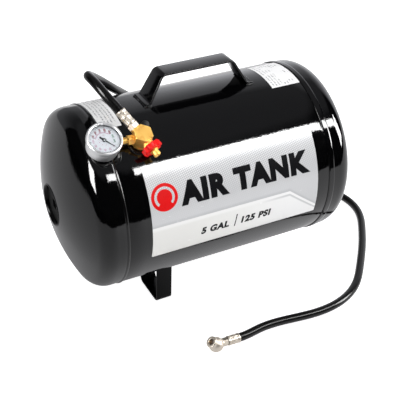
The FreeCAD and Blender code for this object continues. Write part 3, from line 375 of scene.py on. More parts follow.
class Nodes:
    """A node tree, with short calls for the nodes the finishes share."""

    def __init__(self, tree, kind):
        self.tree = tree
        self.tree.nodes.clear()
        self.output = self.tree.nodes.new(f"ShaderNodeOutput{kind}")
        self.spot = None

    def node(self, kind, settings=None, **inputs):
        made = self.tree.nodes.new(f"ShaderNode{kind}")
        for key, value in (settings or {}).items():
            setattr(made, key, value)
        for key, value in inputs.items():
            self.feed(made, key, value)
        return made

    def feed(self, made, key, value):
        index = int(key[1:]) if key[0] == "i" and key[1:].isdigit() else key.replace("_", " ")
        socket = made.inputs[index]
        if isinstance(value, bpy.types.NodeSocket):
            self.tree.links.new(value, socket)
        elif isinstance(value, bpy.types.Node):
            self.tree.links.new(value.outputs[0], socket)
        else:
            if isinstance(value, (tuple, list)) and len(value) == 3 and socket.type == "RGBA":
                value = (*value, 1.0)
            socket.default_value = value

    def where(self, kind="Object"):
        """Texture coordinates: Object is the row frame in metres, UV is metres along the surface."""
        if self.spot is None:
            self.spot = self.node("TexCoord")
        return self.spot.outputs[kind]

    def noise(self, scale, detail=3.0, rough=0.5, kind="Object", stretch=None):
        spot = self.where(kind)
        if stretch:
            spot = self.node("Mapping", Vector=spot, Scale=stretch).outputs[0]
        return self.node("TexNoise", Vector=spot, Scale=scale, Detail=detail, Roughness=rough).outputs["Fac"]

    def math(self, operation, *values):
        inputs = {f"i{k}": value for k, value in enumerate(values)}
        return self.node("Math", {"operation": operation}, **inputs).outputs[0]

    def times(self, first, *others):
        for other in others:
            first = self.math("MULTIPLY", first, other)
        return first

    def plus(self, a, b):
        return self.math("ADD", a, b)

    def scaled(self, value, factor, offset):
        return self.math("MULTIPLY_ADD", value, factor, offset)

    def ramp(self, value, low, high, to_low=0.0, to_high=1.0, smooth=True):
        settings = {"interpolation_type": "SMOOTHSTEP" if smooth else "LINEAR"}
        made = self.node("MapRange", settings, Value=value, From_Min=low, From_Max=high, To_Min=to_low,
                         To_Max=to_high)
        return made.outputs[0]

    def window(self, value, *limits):
        """1 between two soft steps at four rising limits, 0 outside them."""
        return self.times(self.ramp(value, *limits[:2]), self.ramp(value, *limits[2:], 1.0, 0.0))

    def mix(self, share, a, b):
        return self.node("Mix", {"data_type": "RGBA"}, i0=share, i6=a, i7=b).outputs[2]

    def bump(self, height, strength=0.3, distance=0.0002, normal=None):
        made = self.node("Bump", Height=height, Strength=strength, Distance=distance)
        if normal is not None:
            self.feed(made, "Normal", normal)
        return made.outputs[0]

    def show(self, shader):
        self.tree.links.new(shader.outputs[0], self.output.inputs["Surface"])

    def edges(self, radius=0.0006):
        """1 along convex edges, 0 on flats, from how far a rounded normal leans off the true one."""
        soft = self.node("Bevel", {"samples": 4}, Radius=radius)
        true = self.node("NewGeometry").outputs["Normal"]
        dot = self.node("VectorMath", {"operation": "DOT_PRODUCT"}, i0=soft, i1=true).outputs["Value"]
        return self.ramp(dot, 0.995, 0.9)


class Finish(Nodes):
    """A material of one slot; a slot can have several."""

    def __init__(self, slot, name=None):
        self.slot = slot
        self.data = bpy.data.materials.new(name or slot)
        self.data.use_nodes = True
        super().__init__(self.data.node_tree, "Material")

    def surface(self, **inputs):
        self.show(self.node("BsdfPrincipled", **inputs))
        return self


def black_paint():
    """Gloss black powder coat: orange peel, a slight sag in the film, dust and fine rub marks."""
    f = Finish("black_paint")
    dust = f.ramp(f.noise(900.0, 2.0), 0.66, 0.78)
    cloud = f.noise(9.0, 4.0)
    rub = f.ramp(f.noise(60.0, 5.0, 0.65, stretch=(0.25, 1.0, 1.0)), 0.52, 0.75)
    colour = f.mix(cloud, (0.0007, 0.0007, 0.0009), (0.0015, 0.0015, 0.0018))
    colour = f.mix(f.times(dust, 0.05), colour, (0.10, 0.10, 0.095))
    rough = f.plus(f.scaled(cloud, 0.03, 0.045), f.times(rub, 0.04))
    peel = f.bump(f.noise(330.0, 2.0, 0.4), 0.22, 0.0002)
    wave = f.bump(f.noise(26.0, 1.0, 0.4), 0.10, 0.0008, peel)
    return f.surface(Base_Color=colour, Roughness=rough, IOR=1.5, Normal=wave)


def weld_paint():
    """The same coat over weld metal, where the film lies thinner on the ripples' crests."""
    f = Finish("black_paint", "black_weld")
    crest = f.edges(0.0008)
    grain = f.noise(700.0, 3.0)
    colour = f.mix(f.times(crest, 0.35), (0.002, 0.002, 0.0023), (0.02, 0.019, 0.018))
    rough = f.scaled(grain, 0.10, 0.10)
    return f.surface(Base_Color=colour, Roughness=rough, IOR=1.5, Normal=f.bump(grain, 0.25, 0.0002))


def strap_paint(name, gloss, rough_at):
    """The handle's and foot's coat: as the tank's, with worn edges where hands and floor rub."""
    f = Finish("black_paint", name)
    cloud = f.noise(14.0, 4.0)
    wear = f.times(f.edges(0.0009), f.ramp(f.noise(55.0, 5.0, 0.7), 0.50, 0.62))
    colour = f.mix(cloud, (0.0010, 0.0010, 0.0012), (0.0020, 0.0020, 0.0024))
    colour = f.mix(f.times(wear, 0.35), colour, (0.07, 0.067, 0.063))
    rough = f.plus(f.scaled(cloud, 0.05, rough_at), f.times(wear, 0.2))
    peel = f.bump(f.noise(330.0, 2.0, 0.4), 0.15, 0.0002)
    return f.surface(Base_Color=colour, Roughness=rough, IOR=gloss, Normal=peel)


def black_oxide():
    """A cast plug, black and slightly oily."""
    f = Finish("black_plug")
    grain = f.noise(500.0, 4.0, 0.6)
    oil = f.noise(90.0, 2.0)
    colour = f.mix(grain, (0.0015, 0.0015, 0.0015), (0.005, 0.0048, 0.0045))
    rough = f.scaled(oil, 0.25, 0.48)
    return f.surface(Base_Color=colour, Roughness=rough, IOR=1.2, Normal=f.bump(grain, 0.3, 0.0003))


def metal(slot, low, high, rough, grain, tarnish):
    """A machined metal: tool marks, smudges, bright worn edges and a little tarnish in random patches."""
    f = Finish(slot)
    smudge = f.noise(70.0, 4.0, 0.6)
    marks = f.noise(45.0, 3.0, 0.6, kind="UV", stretch=(1.0, 60.0, 1.0))
    stain = f.ramp(f.noise(130.0, 5.0, 0.65), 0.52, 0.72, 0.0, 0.45)
    colour = f.mix(stain, f.mix(smudge, low, high), tarnish)
    edge = f.edges(0.0005)
    colour = f.mix(f.times(edge, 0.5), colour, tuple(min(1.0, c * 1.12 + 0.04) for c in high))
    value = f.plus(f.scaled(smudge, rough * 0.8, rough * 0.6), f.times(edge, -0.05))
    normal = f.bump(marks, grain, 0.00004)
    return f.surface(Base_Color=colour, Metallic=1.0, Roughness=value, Normal=normal)


def red_plastic():
    """A moulded knob: strong red, faint flow marks and lighter, dulled edges."""
    f = Finish("red_plastic")
    flow = f.noise(140.0, 3.0)
    edge = f.edges(0.0007)
    colour = f.mix(flow, (0.82, 0.0008, 0.0008), (0.95, 0.003, 0.002))
    colour = f.mix(f.times(edge, 0.2), colour, (0.98, 0.02, 0.012))
    rough = f.plus(f.scaled(flow, 0.10, 0.40), f.times(edge, 0.1))
    grain = f.bump(f.noise(900.0, 2.0), 0.12, 0.0001)
    return f.surface(Base_Color=colour, Roughness=rough, IOR=1.27, Normal=grain)


def lens_glass():
    """A thin clear window: mostly see-through, with a soft reflection, smears and dust."""
    f = Finish("lens")
    smear = f.noise(120.0, 4.0, 0.6)
    dust = f.ramp(f.noise(1500.0, 2.0), 0.68, 0.76, 0.0, 0.10)
    gloss = f.node("BsdfGlossy", Color=(1, 1, 1), Roughness=f.scaled(smear, 0.10, 0.02),
                   Normal=f.bump(f.noise(60.0, 1.0), 0.05, 0.0003))
    clear = f.node("BsdfTransparent", Color=(0.97, 0.98, 0.985))
    haze = f.node("BsdfDiffuse", Color=(0.9, 0.9, 0.9))
    share = f.node("Fresnel", IOR=1.45)
    both = f.node("MixShader", i0=share, i1=clear, i2=gloss)
    both = f.node("MixShader", i0=dust, i1=both, i2=haze)
    f.show(both)
    return f


def ink(slot, name, colour, other, rough=0.35):
    """Printed ink: slightly uneven cover."""
    f = Finish(slot, name)
    cover = f.noise(1400.0, 3.0, 0.6)
    cloud = f.noise(40.0, 3.0)
    mixed = f.mix(f.scaled(cover, 0.5, f.times(cloud, 0.3)), colour, other)
    return f.surface(Base_Color=mixed, IOR=1.3, Roughness=f.scaled(cover, 0.15, rough - 0.08),
              Normal=f.bump(cover, 0.08, 0.00005))


def dial_face():
    """A white printed dial with a faint mottle and faint lilac clouds."""
    f = Finish("dial")
    mottle = f.noise(420.0, 4.0)
    cloud = f.noise(70.0, 2.0)
    colour = f.mix(mottle, (0.90, 0.91, 0.94), (0.95, 0.96, 0.98))
    colour = f.mix(f.times(cloud, 0.3), colour, (0.90, 0.86, 0.94))
    rough = f.scaled(mottle, 0.1, 0.42)
    return f.surface(Base_Color=colour, Roughness=rough, Normal=f.bump(mottle, 0.05, 0.00005))


def label_film(length, sweep):
    """Silver film: a fine slanted halftone over a pale lower panel with one slanting corner."""
    f = Finish("label_print")
    across, down, _ = f.node("SeparateXYZ", Vector=f.where("UV")).outputs
    pitch = 2 * pi / 0.0044
    slant_a = f.math("SINE", f.times(f.scaled(down, 0.62, across), pitch))
    slant_b = f.math("SINE", f.times(f.scaled(across, -0.62, down), pitch))
    dots = f.ramp(f.scaled(f.times(slant_a, slant_b), 0.5, 0.5), 0.35, 0.65)
    fade = f.ramp(down, 0.10 * sweep, 0.62 * sweep, 1.0, 0.10)
    mottle = f.noise(30.0, 3.0)
    base = f.mix(f.ramp(down, 0.05 * sweep, 0.6 * sweep), (0.46, 0.465, 0.48), (0.62, 0.625, 0.64))
    colour = f.mix(f.times(dots, fade, 0.8), base, (0.90, 0.905, 0.92))
    corner = f.times(f.math("MAXIMUM", f.math("SUBTRACT", across, 0.82 * length), 0.0), 0.78)
    depth = f.math("SUBTRACT", f.math("SUBTRACT", down, 0.633 * sweep), corner)
    panel = f.ramp(depth, -0.0004, 0.0004)
    pale = f.mix(f.ramp(across, 0.2 * length, 0.9 * length), (0.84, 0.835, 0.81), (0.95, 0.95, 0.95))
    colour = f.mix(panel, colour, pale)
    # Painted light along the pale panel's edge: a painted shade line just above it, a painted highlight on its
    # upper and slanted borders, and a painted shadow inside them towards the right corner.
    shade = f.window(depth, -0.006, -0.0004, -0.0004, 0.0004)
    colour = f.mix(f.times(shade, 0.30), colour, (0.30, 0.31, 0.34))
    glint = f.window(depth, 0.0, 0.0008, 0.0030, 0.0075)
    colour = f.mix(f.times(glint, 0.7), colour, (0.96, 0.96, 0.96))
    reach = f.ramp(across, 0.60 * length, 0.84 * length, 0.0, 0.5)
    painted_bevel_shadow = f.times(f.window(depth, 0.0035, 0.0050, 0.0062, 0.0085), reach)
    colour = f.mix(painted_bevel_shadow, colour, (0.34, 0.35, 0.37))
    colour = f.mix(f.times(mottle, 0.10), colour, (0.60, 0.61, 0.63))
    scuff = f.ramp(f.noise(220.0, 5.0, 0.7, stretch=(0.2, 1.0, 1.0)), 0.60, 0.75)
    rough = f.plus(f.scaled(mottle, 0.08, 0.20), f.times(scuff, 0.10))
    normal = f.bump(f.noise(330.0, 2.0, 0.4), 0.12, 0.0002)
    return f.surface(Base_Color=colour, Roughness=rough, Metallic=0.08, Normal=normal)


def sticker_paper(name, spot, upright):
    """A white sticker with rows of faint grey rules, lightly soiled; upright rows run around the shell."""
    f = Finish("sticker_white", name)
    across, down, _ = f.node("SeparateXYZ", Vector=f.where("UV")).outputs
    row = f.math("PINGPONG", across if upright else down, 0.0023)
    rules = f.ramp(row, 0.0008, 0.0011, 1.0, 0.0)
    stretch = (0.5, 1.0, 1.0) if upright else (1.0, 0.5, 1.0)
    width, height = (spot[1] - spot[0]) * MM, radians(spot[3]) * RADIUS * MM
    words = f.ramp(f.noise(420.0, 2.0, kind="UV", stretch=stretch), 0.46, 0.56)
    inside = f.ramp(f.noise(45.0, 1.0), 0.40, 0.46)
    for value, size in ((across, width), (down, height)):
        inside = f.times(inside, f.window(value, 0.0030, 0.0035, size - 0.0035, size - 0.0030))
    mark = f.times(rules, words, inside)
    soil = f.noise(60.0, 4.0)
    colour = f.mix(soil, (0.84, 0.84, 0.845), (0.90, 0.90, 0.905))
    colour = f.mix(f.times(mark, 0.85), colour, (0.16, 0.16, 0.18))
    return f.surface(Base_Color=colour, Roughness=f.scaled(soil, 0.15, 0.38),
              Normal=f.bump(f.noise(800.0, 3.0), 0.08, 0.0001))


def hose_rubber():
    """Smooth black rubber: extrusion lines along it, a dusty bloom and scuffed patches."""
    f = Finish("hose_rubber")
    lines = f.noise(260.0, 3.0, 0.6, kind="UV", stretch=(1.0, 0.03, 1.0))
    bloom = f.noise(35.0, 4.0, 0.6)
    grit = f.noise(1300.0, 2.0)
    colour = f.mix(bloom, (0.0015, 0.0015, 0.0015), (0.0045, 0.0042, 0.0040))
    colour = f.mix(f.times(f.ramp(grit, 0.62, 0.75), 0.12), colour, (0.05, 0.046, 0.042))
    rough = f.plus(f.scaled(bloom, 0.12, 0.12), f.times(grit, 0.05))
    normal = f.bump(lines, 0.12, 0.00012, f.bump(grit, 0.10, 0.00008))
    return f.surface(Base_Color=colour, Roughness=rough, IOR=1.36, Normal=normal)


def moulded(slot, low, high, rough, grain, name=None):
    """Moulded rubber or plastic with a fine grain and rubbed edges."""
    f = Finish(slot, name)
    speck = f.noise(grain, 3.0)
    edge = f.edges(0.0005)
    colour = f.mix(speck, low, high)
    colour = f.mix(f.times(edge, 0.2), colour, (0.08, 0.08, 0.08))
    rough = f.scaled(speck, 0.15, rough)
    return f.surface(Base_Color=colour, Roughness=rough, Normal=f.bump(speck, 0.15, 0.0001))


LABEL_LENGTH = 250.0
LABEL_FROM = 5.0 - LABEL_LENGTH / 2
LABEL_START = 48.0
LABEL_SWEEP = 60.0
LEFT_SPOT = (-150.5, -122.0, -20.0, 39.0)  # from and to along the tank, then start and sweep in degrees
RIGHT_SPOT = (104.0, 148.0, -16.0, 33.0)

PAINT = black_paint()
WELD = weld_paint()
STRAP = strap_paint("black_handle", 1.5, 0.07)
DULL = strap_paint("black_dull", 1.22, 0.20)
PLUG = black_oxide()
BRASS = metal("brass", (0.97, 0.55, 0.12), (1.0, 0.66, 0.20), 0.52, 0.20, (0.70, 0.27, 0.03))
BRONZE = metal("tube_bronze", (0.55, 0.28, 0.13), (0.66, 0.38, 0.20), 0.25, 0.2, (0.30, 0.15, 0.08))
RED = red_plastic()
GAUGE_STEEL = metal("gauge_steel", (0.88, 0.885, 0.89), (0.96, 0.96, 0.96), 0.38, 0.03, (0.80, 0.80, 0.81))
LENS = lens_glass()
DIAL = dial_face()
POINTER = ink("pointer_black", "pointer_black", (0.012, 0.012, 0.014), (0.03, 0.03, 0.033), 0.45)
LABEL = label_film(LABEL_LENGTH * MM, radians(LABEL_SWEEP) * RADIUS * MM)
LEFT_TAG = sticker_paper("left_paper", LEFT_SPOT, True)
RIGHT_TAG = sticker_paper("right_paper", RIGHT_SPOT, True)
HOSE = hose_rubber()
NICKEL = metal("nickel", (0.56, 0.50, 0.42), (0.70, 0.64, 0.56), 0.46, 0.25, (0.36, 0.30, 0.23))
SEAL = moulded("seal_rubber", (0.008, 0.008, 0.008), (0.018, 0.018, 0.018), 0.5, 700.0)
CHUCK_SEAL = moulded("seal_rubber", (0.20, 0.14, 0.11), (0.30, 0.22, 0.18), 0.45, 700.0, "seal_tan")
SPRING = metal("spring_steel", (0.45, 0.46, 0.48), (0.60, 0.61, 0.63), 0.3, 0.3, (0.30, 0.28, 0.26))
PIN = metal("pin_brass", (0.72, 0.48, 0.20), (0.84, 0.62, 0.30), 0.22, 0.3, (0.45, 0.25, 0.10))
CAP = moulded("cap_plastic", (0.0015, 0.0015, 0.0015), (0.004, 0.004, 0.004), 0.62, 900.0)
PRINT_BLACK = ink("label_print", "label_black", (0.002, 0.002, 0.003), (0.005, 0.005, 0.007), 0.30)
PRINT_RED = ink("label_print", "label_red", (0.70, 0.002, 0.003), (0.82, 0.005, 0.006), 0.30)
DIAL_BLACK = ink("dial", "dial_black", (0.03, 0.03, 0.04), (0.07, 0.07, 0.08), 0.5)
DIAL_RED = ink("dial", "dial_red", (0.22, 0.008, 0.02), (0.34, 0.02, 0.04), 0.5)
DIAL_PINK = ink("dial", "dial_pink", (0.70, 0.46, 0.58), (0.76, 0.56, 0.66), 0.5)
DIAL_GREEN = ink("dial", "dial_green", (0.28, 0.42, 0.34), (0.36, 0.50, 0.42), 0.5)

FINISHES = {finish.slot: finish for finish in (
    PAINT, PLUG, BRASS, BRONZE, RED, GAUGE_STEEL, LENS, DIAL, POINTER, LABEL, LEFT_TAG, HOSE, NICKEL, SEAL,
    SPRING, PIN, CAP)}
for part in record["subparts"]:
    cad = frame["nodes"][part["node"]]
    cad.data.materials.clear()
    cad.data.materials.append(FINISHES[part["material_slot"]].data)
frame["nodes"]["chuck_seal"].data.materials[0] = CHUCK_SEAL.data


# ---------------------------------------------------------------- pressure vessel

KNUCKLE = 25.2
CROWN = 252.0
FLANGE = 13.5
WALL = 2.3
ROUND = 256  # sides of the vessel's circles


def dish_profile(shrink, inner_end):
    """(radius, height above the open edge) of one skin of a dished head, rim to middle."""
    radius, knuckle, crown = RADIUS - shrink, KNUCKLE - shrink, CROWN - shrink
    bend = acos((radius - knuckle) / (crown - knuckle))
    depth = sin(bend) * (crown - knuckle)
    points = [(radius, 0.0), (radius, FLANGE * 0.5), (radius, FLANGE)]
    points += arc_points(knuckle, 0, bend, 18, radius - knuckle, FLANGE)[1:]
    return points + arc_points(crown, bend, acos(inner_end / crown), 24, 0.0, FLANGE - depth)[1:]


def shell_at(y):
    """The shell's height above its axis at this distance to the side."""
    return sqrt(RADIUS ** 2 - y * y)


def tank_end(x, way):
    """A frame on the tank's axis with Z out of one end."""
    return frame_at(TANK @ Vector((x, 0, 0)), ALONG * way, UP)


def vessel():
    inner = RADIUS - WALL
    wall = rounded(((inner, -HALF, 0), (RADIUS, -HALF, 0.4), (RADIUS, HALF, 0.4), (inner, HALF, 0)))
    rows = wall[:4] + [(RADIUS, -HALF + 2 * HALF * k / 12) for k in range(1, 12)] + wall[-5:]
    turned("shell_skin", rows, ROUND, tank_end(0, 1), PAINT, "tank_shell", smooth=50, closed=True)
    left, right = tank_end(-HALF, -1), tank_end(HALF, 1)
    for side, place, hole in (("left", left, 30.0), ("right", right, 0.0)):
        skin = dish_profile(0.0, hole) + dish_profile(WALL, hole)[::-1]
        skin[0:1] = [(RADIUS - 0.5, 0.0), (RADIUS - 0.12, 0.25), (RADIUS, 0.9)]
        turned(f"{side}_dish", skin, ROUND, place, PAINT, f"{side}_head", closed=hole > 0, smooth=50)

    rng = random.Random(4)
    segments = 360
    ripple = [0.12 * sin(k * pi) + rng.uniform(-0.05, 0.05) for k in range(segments)]
    bead = []
    for k in range(13):
        lift, z = sin(pi * k / 12), 2.2 * cos(pi * k / 12)
        ring = circle(lambda n: RADIUS - 0.3 + (1.35 + ripple[n]) * lift, z, segments)
        bead.append([(x, y, z + ripple[n] * 0.5) for n, (x, y, z) in enumerate(ring)])
    piece("left_bead", Form().grid(bead, loop=True), left, WELD, "left_seam_weld", smooth=70)
    lap = ((-0.6, -4.5, 0), (0.7, -4.5, 0.6), (1.2, -2.6, 1.2), (1.2, 2.6, 1.2), (0.7, 4.5, 0.6),
           (-0.6, 4.5, 0))
    lap = rounded([(RADIUS + r, z, edge) for r, z, edge in lap], steps=4)
    turned("lap_band", lap, ROUND, right, PAINT, "right_lap_ring", smooth=50, closed=True)
    seam = radians(-125)
    y, z = -sin(seam) * (RADIUS - 0.9), cos(seam) * (RADIUS - 0.9)
    middle = [(x, y, z) for x in np.linspace(-HALF + 9, HALF - 9, 300)]
    weld_bead("long_seam", middle, 2.2, TANK, 9, "shell_seam_weld")


def port_ring():
    """The ring in the left head with its sunken square-socket plug."""
    top = FLANGE + CROWN - sqrt((CROWN - KNUCKLE) ** 2 - (RADIUS - KNUCKLE) ** 2)
    place = tank_end(-HALF - top, -1)
    ring = rounded(((26.5, -14.0, 0), (30.0, -14.0, 0), (30.0, -1.5, 0), (29.4, -1.0, 0.4), (28.6, -1.0, 1.2),
                    (26.5, -3.6, 1.6)), steps=5)
    turned("port_ring", ring, 96, place, DULL, "head_port_boss", smooth=45, closed=True)
    half, face, back = 6.35, -6.0, -14.0
    square = dense(rounded(box_corners(half, half, 0.6), closed=True), 1.0)
    disc = on_circle(square, 26.5)
    rows = [layer(square, back, 0.0), layer(disc, back), layer(disc, face - 0.5), layer(disc, face, 0.98),
            layer(square, face, 1.06), layer(square, face - 0.4), layer(square, face - 6),
            layer(square, face - 6.6, 0.0)]
    piece("port_plug", Form().grid(rows), place, PLUG, "head_port_plug", smooth=35)


def boss():
    ring = rounded(((13.0, -4.0, 0), (16.5, -4.0, 0), (16.5, -1.2, 0), (15.6, 0.2, 1.0), (15.6, 2.0, 0.7),
                    (7.0, 2.0, 0.3), (6.7, 1.0, 0)), steps=4)
    turned("boss_ring", ring, 96, MANIFOLD, PAINT, "manifold_boss", smooth=45, closed=True)
    weld = [(x, y, shell_at(y) - RADIUS + 0.2) for x, y in arc_points(16.0, 0, 2 * pi, 219)]
    weld_bead("boss_weld", weld, 1.7, MANIFOLD, 3)


# ---------------------------------------------------------------- handle and foot

HANDLE_SHIFT = 1.5


def handle():
    top, top_half, base_half, tab = 164.0, 53.0, 75.0, 5.0
    mid = top - STEEL / 2
    low = RADIUS + STEEL / 2 - 0.4
    slope = atan2(base_half - top_half, top - RADIUS)
    lean = STEEL / 2 / cos(slope)
    corner_top = (mid - RADIUS) * tan(slope)
    at_top = base_half - lean - corner_top
    at_base = base_half - lean - (low - RADIUS) * tan(slope)
    right = [(at_top, mid, 8.0), (at_base, low, 4.5), (base_half + tab, low, 0)]
    path = strap_path(right)
    widths = [29.0 + 9.0 * max(0.0, min(1.0, (top - z) / (top - RADIUS))) for x, z in path]
    place = TANK @ Matrix.Translation((HANDLE_SHIFT, 0, 0))
    form = strap([(x, 0, z) for x, z in path], (0, 1, 0), widths)
    piece("handle_strap", form, place, STRAP, "handle", smooth=50)
    for sign in (-1, 1):
        reach = sign * (base_half + tab + 0.6)
        ys = np.linspace(-19.5, 19.5, 56)
        run = [(reach + 0.25 * sin(y), y, shell_at(y) + 0.2) for y in ys]
        side = "left" if sign < 0 else "right"
        weld_bead(f"handle_weld_{side}", run, 1.9, place, 5 + sign, "handle_welds" if sign < 0 else "")
        for edge in (-1, 1):
            y = edge * 18.8
            xs = np.linspace(base_half - 3.5, base_half + tab, 16)
            run = [(sign * x, y, shell_at(y) + 0.3) for x in xs]
            corner = side[0] + ("f" if edge < 0 else "b")
            weld_bead(f"handle_fillet_{corner}", run, 1.5, place, 20 + sign + 2 * edge)


def foot():
    axis = TANK_CENTRE.z / MM
    top_half, base_half, width = 36.0, 31.0, 24.0
    touch = axis - shell_at(top_half)
    lean = atan2(top_half - base_half, touch + STEEL)
    side = STEEL / 2 / cos(lean)
    at_top = top_half - side
    at_base = base_half - side + STEEL / 2 * tan(lean)
    right = [(at_base, STEEL / 2, 7.5), (at_top, touch + 2.6, 0)]
    path = strap_path(right)
    place = Matrix.Scale(MM, 4)
    form = strap([(0, y, z) for y, z in path], (1, 0, 0), [width] * len(path))
    piece("foot_strap", form, place, DULL, "foot", smooth=50)
    for sign in (-1, 1):
        y = sign * (top_half + 0.3)
        run = [(x, y, axis - shell_at(y) - 0.2) for x in np.linspace(-12.5, 12.5, 40)]
        name = "foot_weld_front" if sign < 0 else "foot_weld_back"
        weld_bead(name, run, 1.8, place, 11 + sign, "foot_welds" if sign < 0 else "")


# ---------------------------------------------------------------- labels

def around(x, arc, lift):
    """A point on the shell: x along it, arc down from the label's upper edge, lift off the plate."""
    angle = radians(LABEL_START) + arc / RADIUS
    r = RADIUS + lift
    return Vector((x, -r * sin(angle), r * cos(angle)))


def film(name, x_from, x_to, start, sweep, finish, node, corner):
    """A thin decal wrapped on the shell, with rounded corners."""
    arc = radians(sweep) * RADIUS
    outline = [(x_from, 0, corner), (x_to, 0, corner), (x_to, arc, corner), (x_from, arc, corner)]
    outline = rounded(outline, closed=True, steps=6)
    rows_at = sorted({round(y, 4) for x, y in outline} | set(np.linspace(0, arc, max(3, int(arc / 1.5)))))
    offset = radians(start - LABEL_START) * RADIUS

    def inset(y):
        near = min(y, arc - y)
        return corner - sqrt(max(0.0, corner ** 2 - (corner - near) ** 2)) if near < corner else 0.0

    rows = []
    for y in rows_at:
        xs = np.linspace(x_from + inset(y), x_to - inset(y), 12)
        front = [around(x, y + offset, 0.25) for x in xs]
        rows.append(front + [around(x, y + offset, -0.1) for x in xs[::-1]])
    first, last = [[(a + b) / 2 for a, b in zip(row, row[::-1])] for row in (rows[0], rows[-1])]
    us = list(np.linspace(0, x_to - x_from, 12))
    us += us[::-1] + [0.0]
    vs = rows_at[:1] + rows_at + rows_at[-1:] * 2
    piece(name, Form().grid([first] + rows + [last], us=us, vs=vs), TANK, finish, node, smooth=40)


def flat_piece(name, curve, finish, wrap, pitch=1.6, node="", body="tank"):
    """Turns a filled, extruded 2D curve into a mesh, splits it into strips and wraps it."""
    holder = linked("outline", curve)
    graph = bpy.context.evaluated_depsgraph_get()
    work = bmesh.new()
    work.from_mesh(bpy.data.meshes.new_from_object(holder.evaluated_get(graph)))
    bpy.data.objects.remove(holder)
    bmesh.ops.remove_doubles(work, verts=work.verts, dist=1e-4)
    ys = [v.co.y for v in work.verts]
    y = min(ys) + pitch
    while pitch and y < max(ys):
        whole = list(work.verts) + list(work.edges) + list(work.faces)
        bmesh.ops.bisect_plane(work, geom=whole, plane_co=(0, y, 0), plane_no=(0, 1, 0), dist=1e-5)
        y += pitch
    bmesh.ops.triangulate(work, faces=[f for f in work.faces if len(f.verts) > 4])
    for vert in work.verts:
        vert.co = wrap(vert.co)
    bmesh.ops.recalc_face_normals(work, faces=work.faces)
    add_piece(name, work, Matrix(), finish, node, body, 30.0)


def lettering(text, height, bold, x_scale=1.0, depth=0.08):
    curve = bpy.data.curves.new("lettering", "FONT")
    curve.body = text
    curve.size = height
    curve.offset = bold
    curve.extrude = depth
    curve.resolution_u = 5
    curve.align_x = "LEFT"
    curve.space_character = x_scale
    return curve


def shape_curve(outlines, depth=0.08):
    """A filled 2D curve from closed polylines; an outline inside another is a hole."""
    curve = bpy.data.curves.new("shape", "CURVE")
    curve.dimensions = "2D"
    curve.fill_mode = "BOTH"
    curve.extrude = depth
    for points in outlines:
        spline = curve.splines.new("POLY")
        spline.points.add(len(points) - 1)
        for point, (x, y) in zip(spline.points, points):
            point.co = (x, y, 0, 1)
        spline.use_cyclic_u = True
    return curve


def on_label(x, arc, stretch=1.0, lean=0.0):
    """Wraps flat art onto the label: its x runs along the tank and its y up the shell."""
    return lambda p: TANK @ around(x + p.x * stretch + p.y * lean, arc - p.y, 0.25 + p.z)


def band(radius, thick, start, stop):
    """The outline of a band along an arc given in degrees."""
    start, stop = radians(start), radians(stop)
    return arc_points(radius + thick / 2, start, stop, 47) + arc_points(radius - thick / 2, stop, start, 47)


def labels():
    label_to = LABEL_FROM + LABEL_LENGTH
    film("label_film", LABEL_FROM, label_to, LABEL_START, LABEL_SWEEP, LABEL, "front_label", 1.5)
    film("left_tag", *LEFT_SPOT, LEFT_TAG, "left_sticker", 1.2)
    film("right_tag", *RIGHT_SPOT, RIGHT_TAG, "right_sticker", 1.2)
    rim = [point[:2] for point in circle(18.5, 0, 72)]
    scale = band(12.4, 3.4, -45, 225)
    needle = [(-3.4, -1.0), (-0.4, -3.6), (8.6, 7.4)]
    rule = [(0, 0), (1.6, 0), (1.6, 20), (0, 20)]
    title = lettering("AIR TANK", 39.0, 2.7, 1.13)
    volume = lettering("5 GAL", 14.0, 0.8, 1.12)
    rating = lettering("125 PSI", 14.0, 0.8, 1.12)
    flat_piece("label_badge", shape_curve([rim, scale, needle]), PRINT_RED, on_label(-98.5, 45.0))
    flat_piece("label_title", title, PRINT_BLACK, on_label(-73.0, 60.0, 0.955))
    flat_piece("label_volume", volume, PRINT_BLACK, on_label(-50.0, 113.5, 1.0, 0.15))
    flat_piece("label_rule", shape_curve([rule]), PRINT_BLACK, on_label(-0.5, 116.5, 1.0, 0.15))
    flat_piece("label_rating", rating, PRINT_BLACK, on_label(8.0, 113.5, 1.0, 0.15))


# ---------------------------------------------------------------- manifold, gauge and valves

def nut(name, place, finish, node, bar, end):
    """A fitting: a hexagonal bar with a round end."""
    form = hexagon(*bar)
    form.lathe(rod(*end, 0.2, steps=2), 40)
    piece(name, form, place, finish, node, smooth=24)


def manifold():
    form = hexagon(2 * FACE, 5.0, MANIFOLD_TOP, nip=1.10)
    base = ((0, 2.0, 0), (11.6, 2.0, 0.6), (12.5, 3.2, 0.8), (12.5, 5.4, 0.8), (10.5, 6.6, 0), (0, 6.6, 0))
    form.lathe(rounded(base), 72)
    piece("brass_block", form, MANIFOLD, BRASS, "manifold_body", smooth=24)
    for name, place, reach in (("valve_collar", VALVE_PORT, 1.3), ("hose_collar", HOSE_PORT, 2.2)):
        turned(name, rod(6.9, FACE - 0.8, FACE + reach, 0.5), 48, place, BRASS, smooth=35)


# the scale runs clockwise from this far short of the stem, which is along the dial's +X
SCALE_START = -45.0
SCALE_SWEEP = 270.0


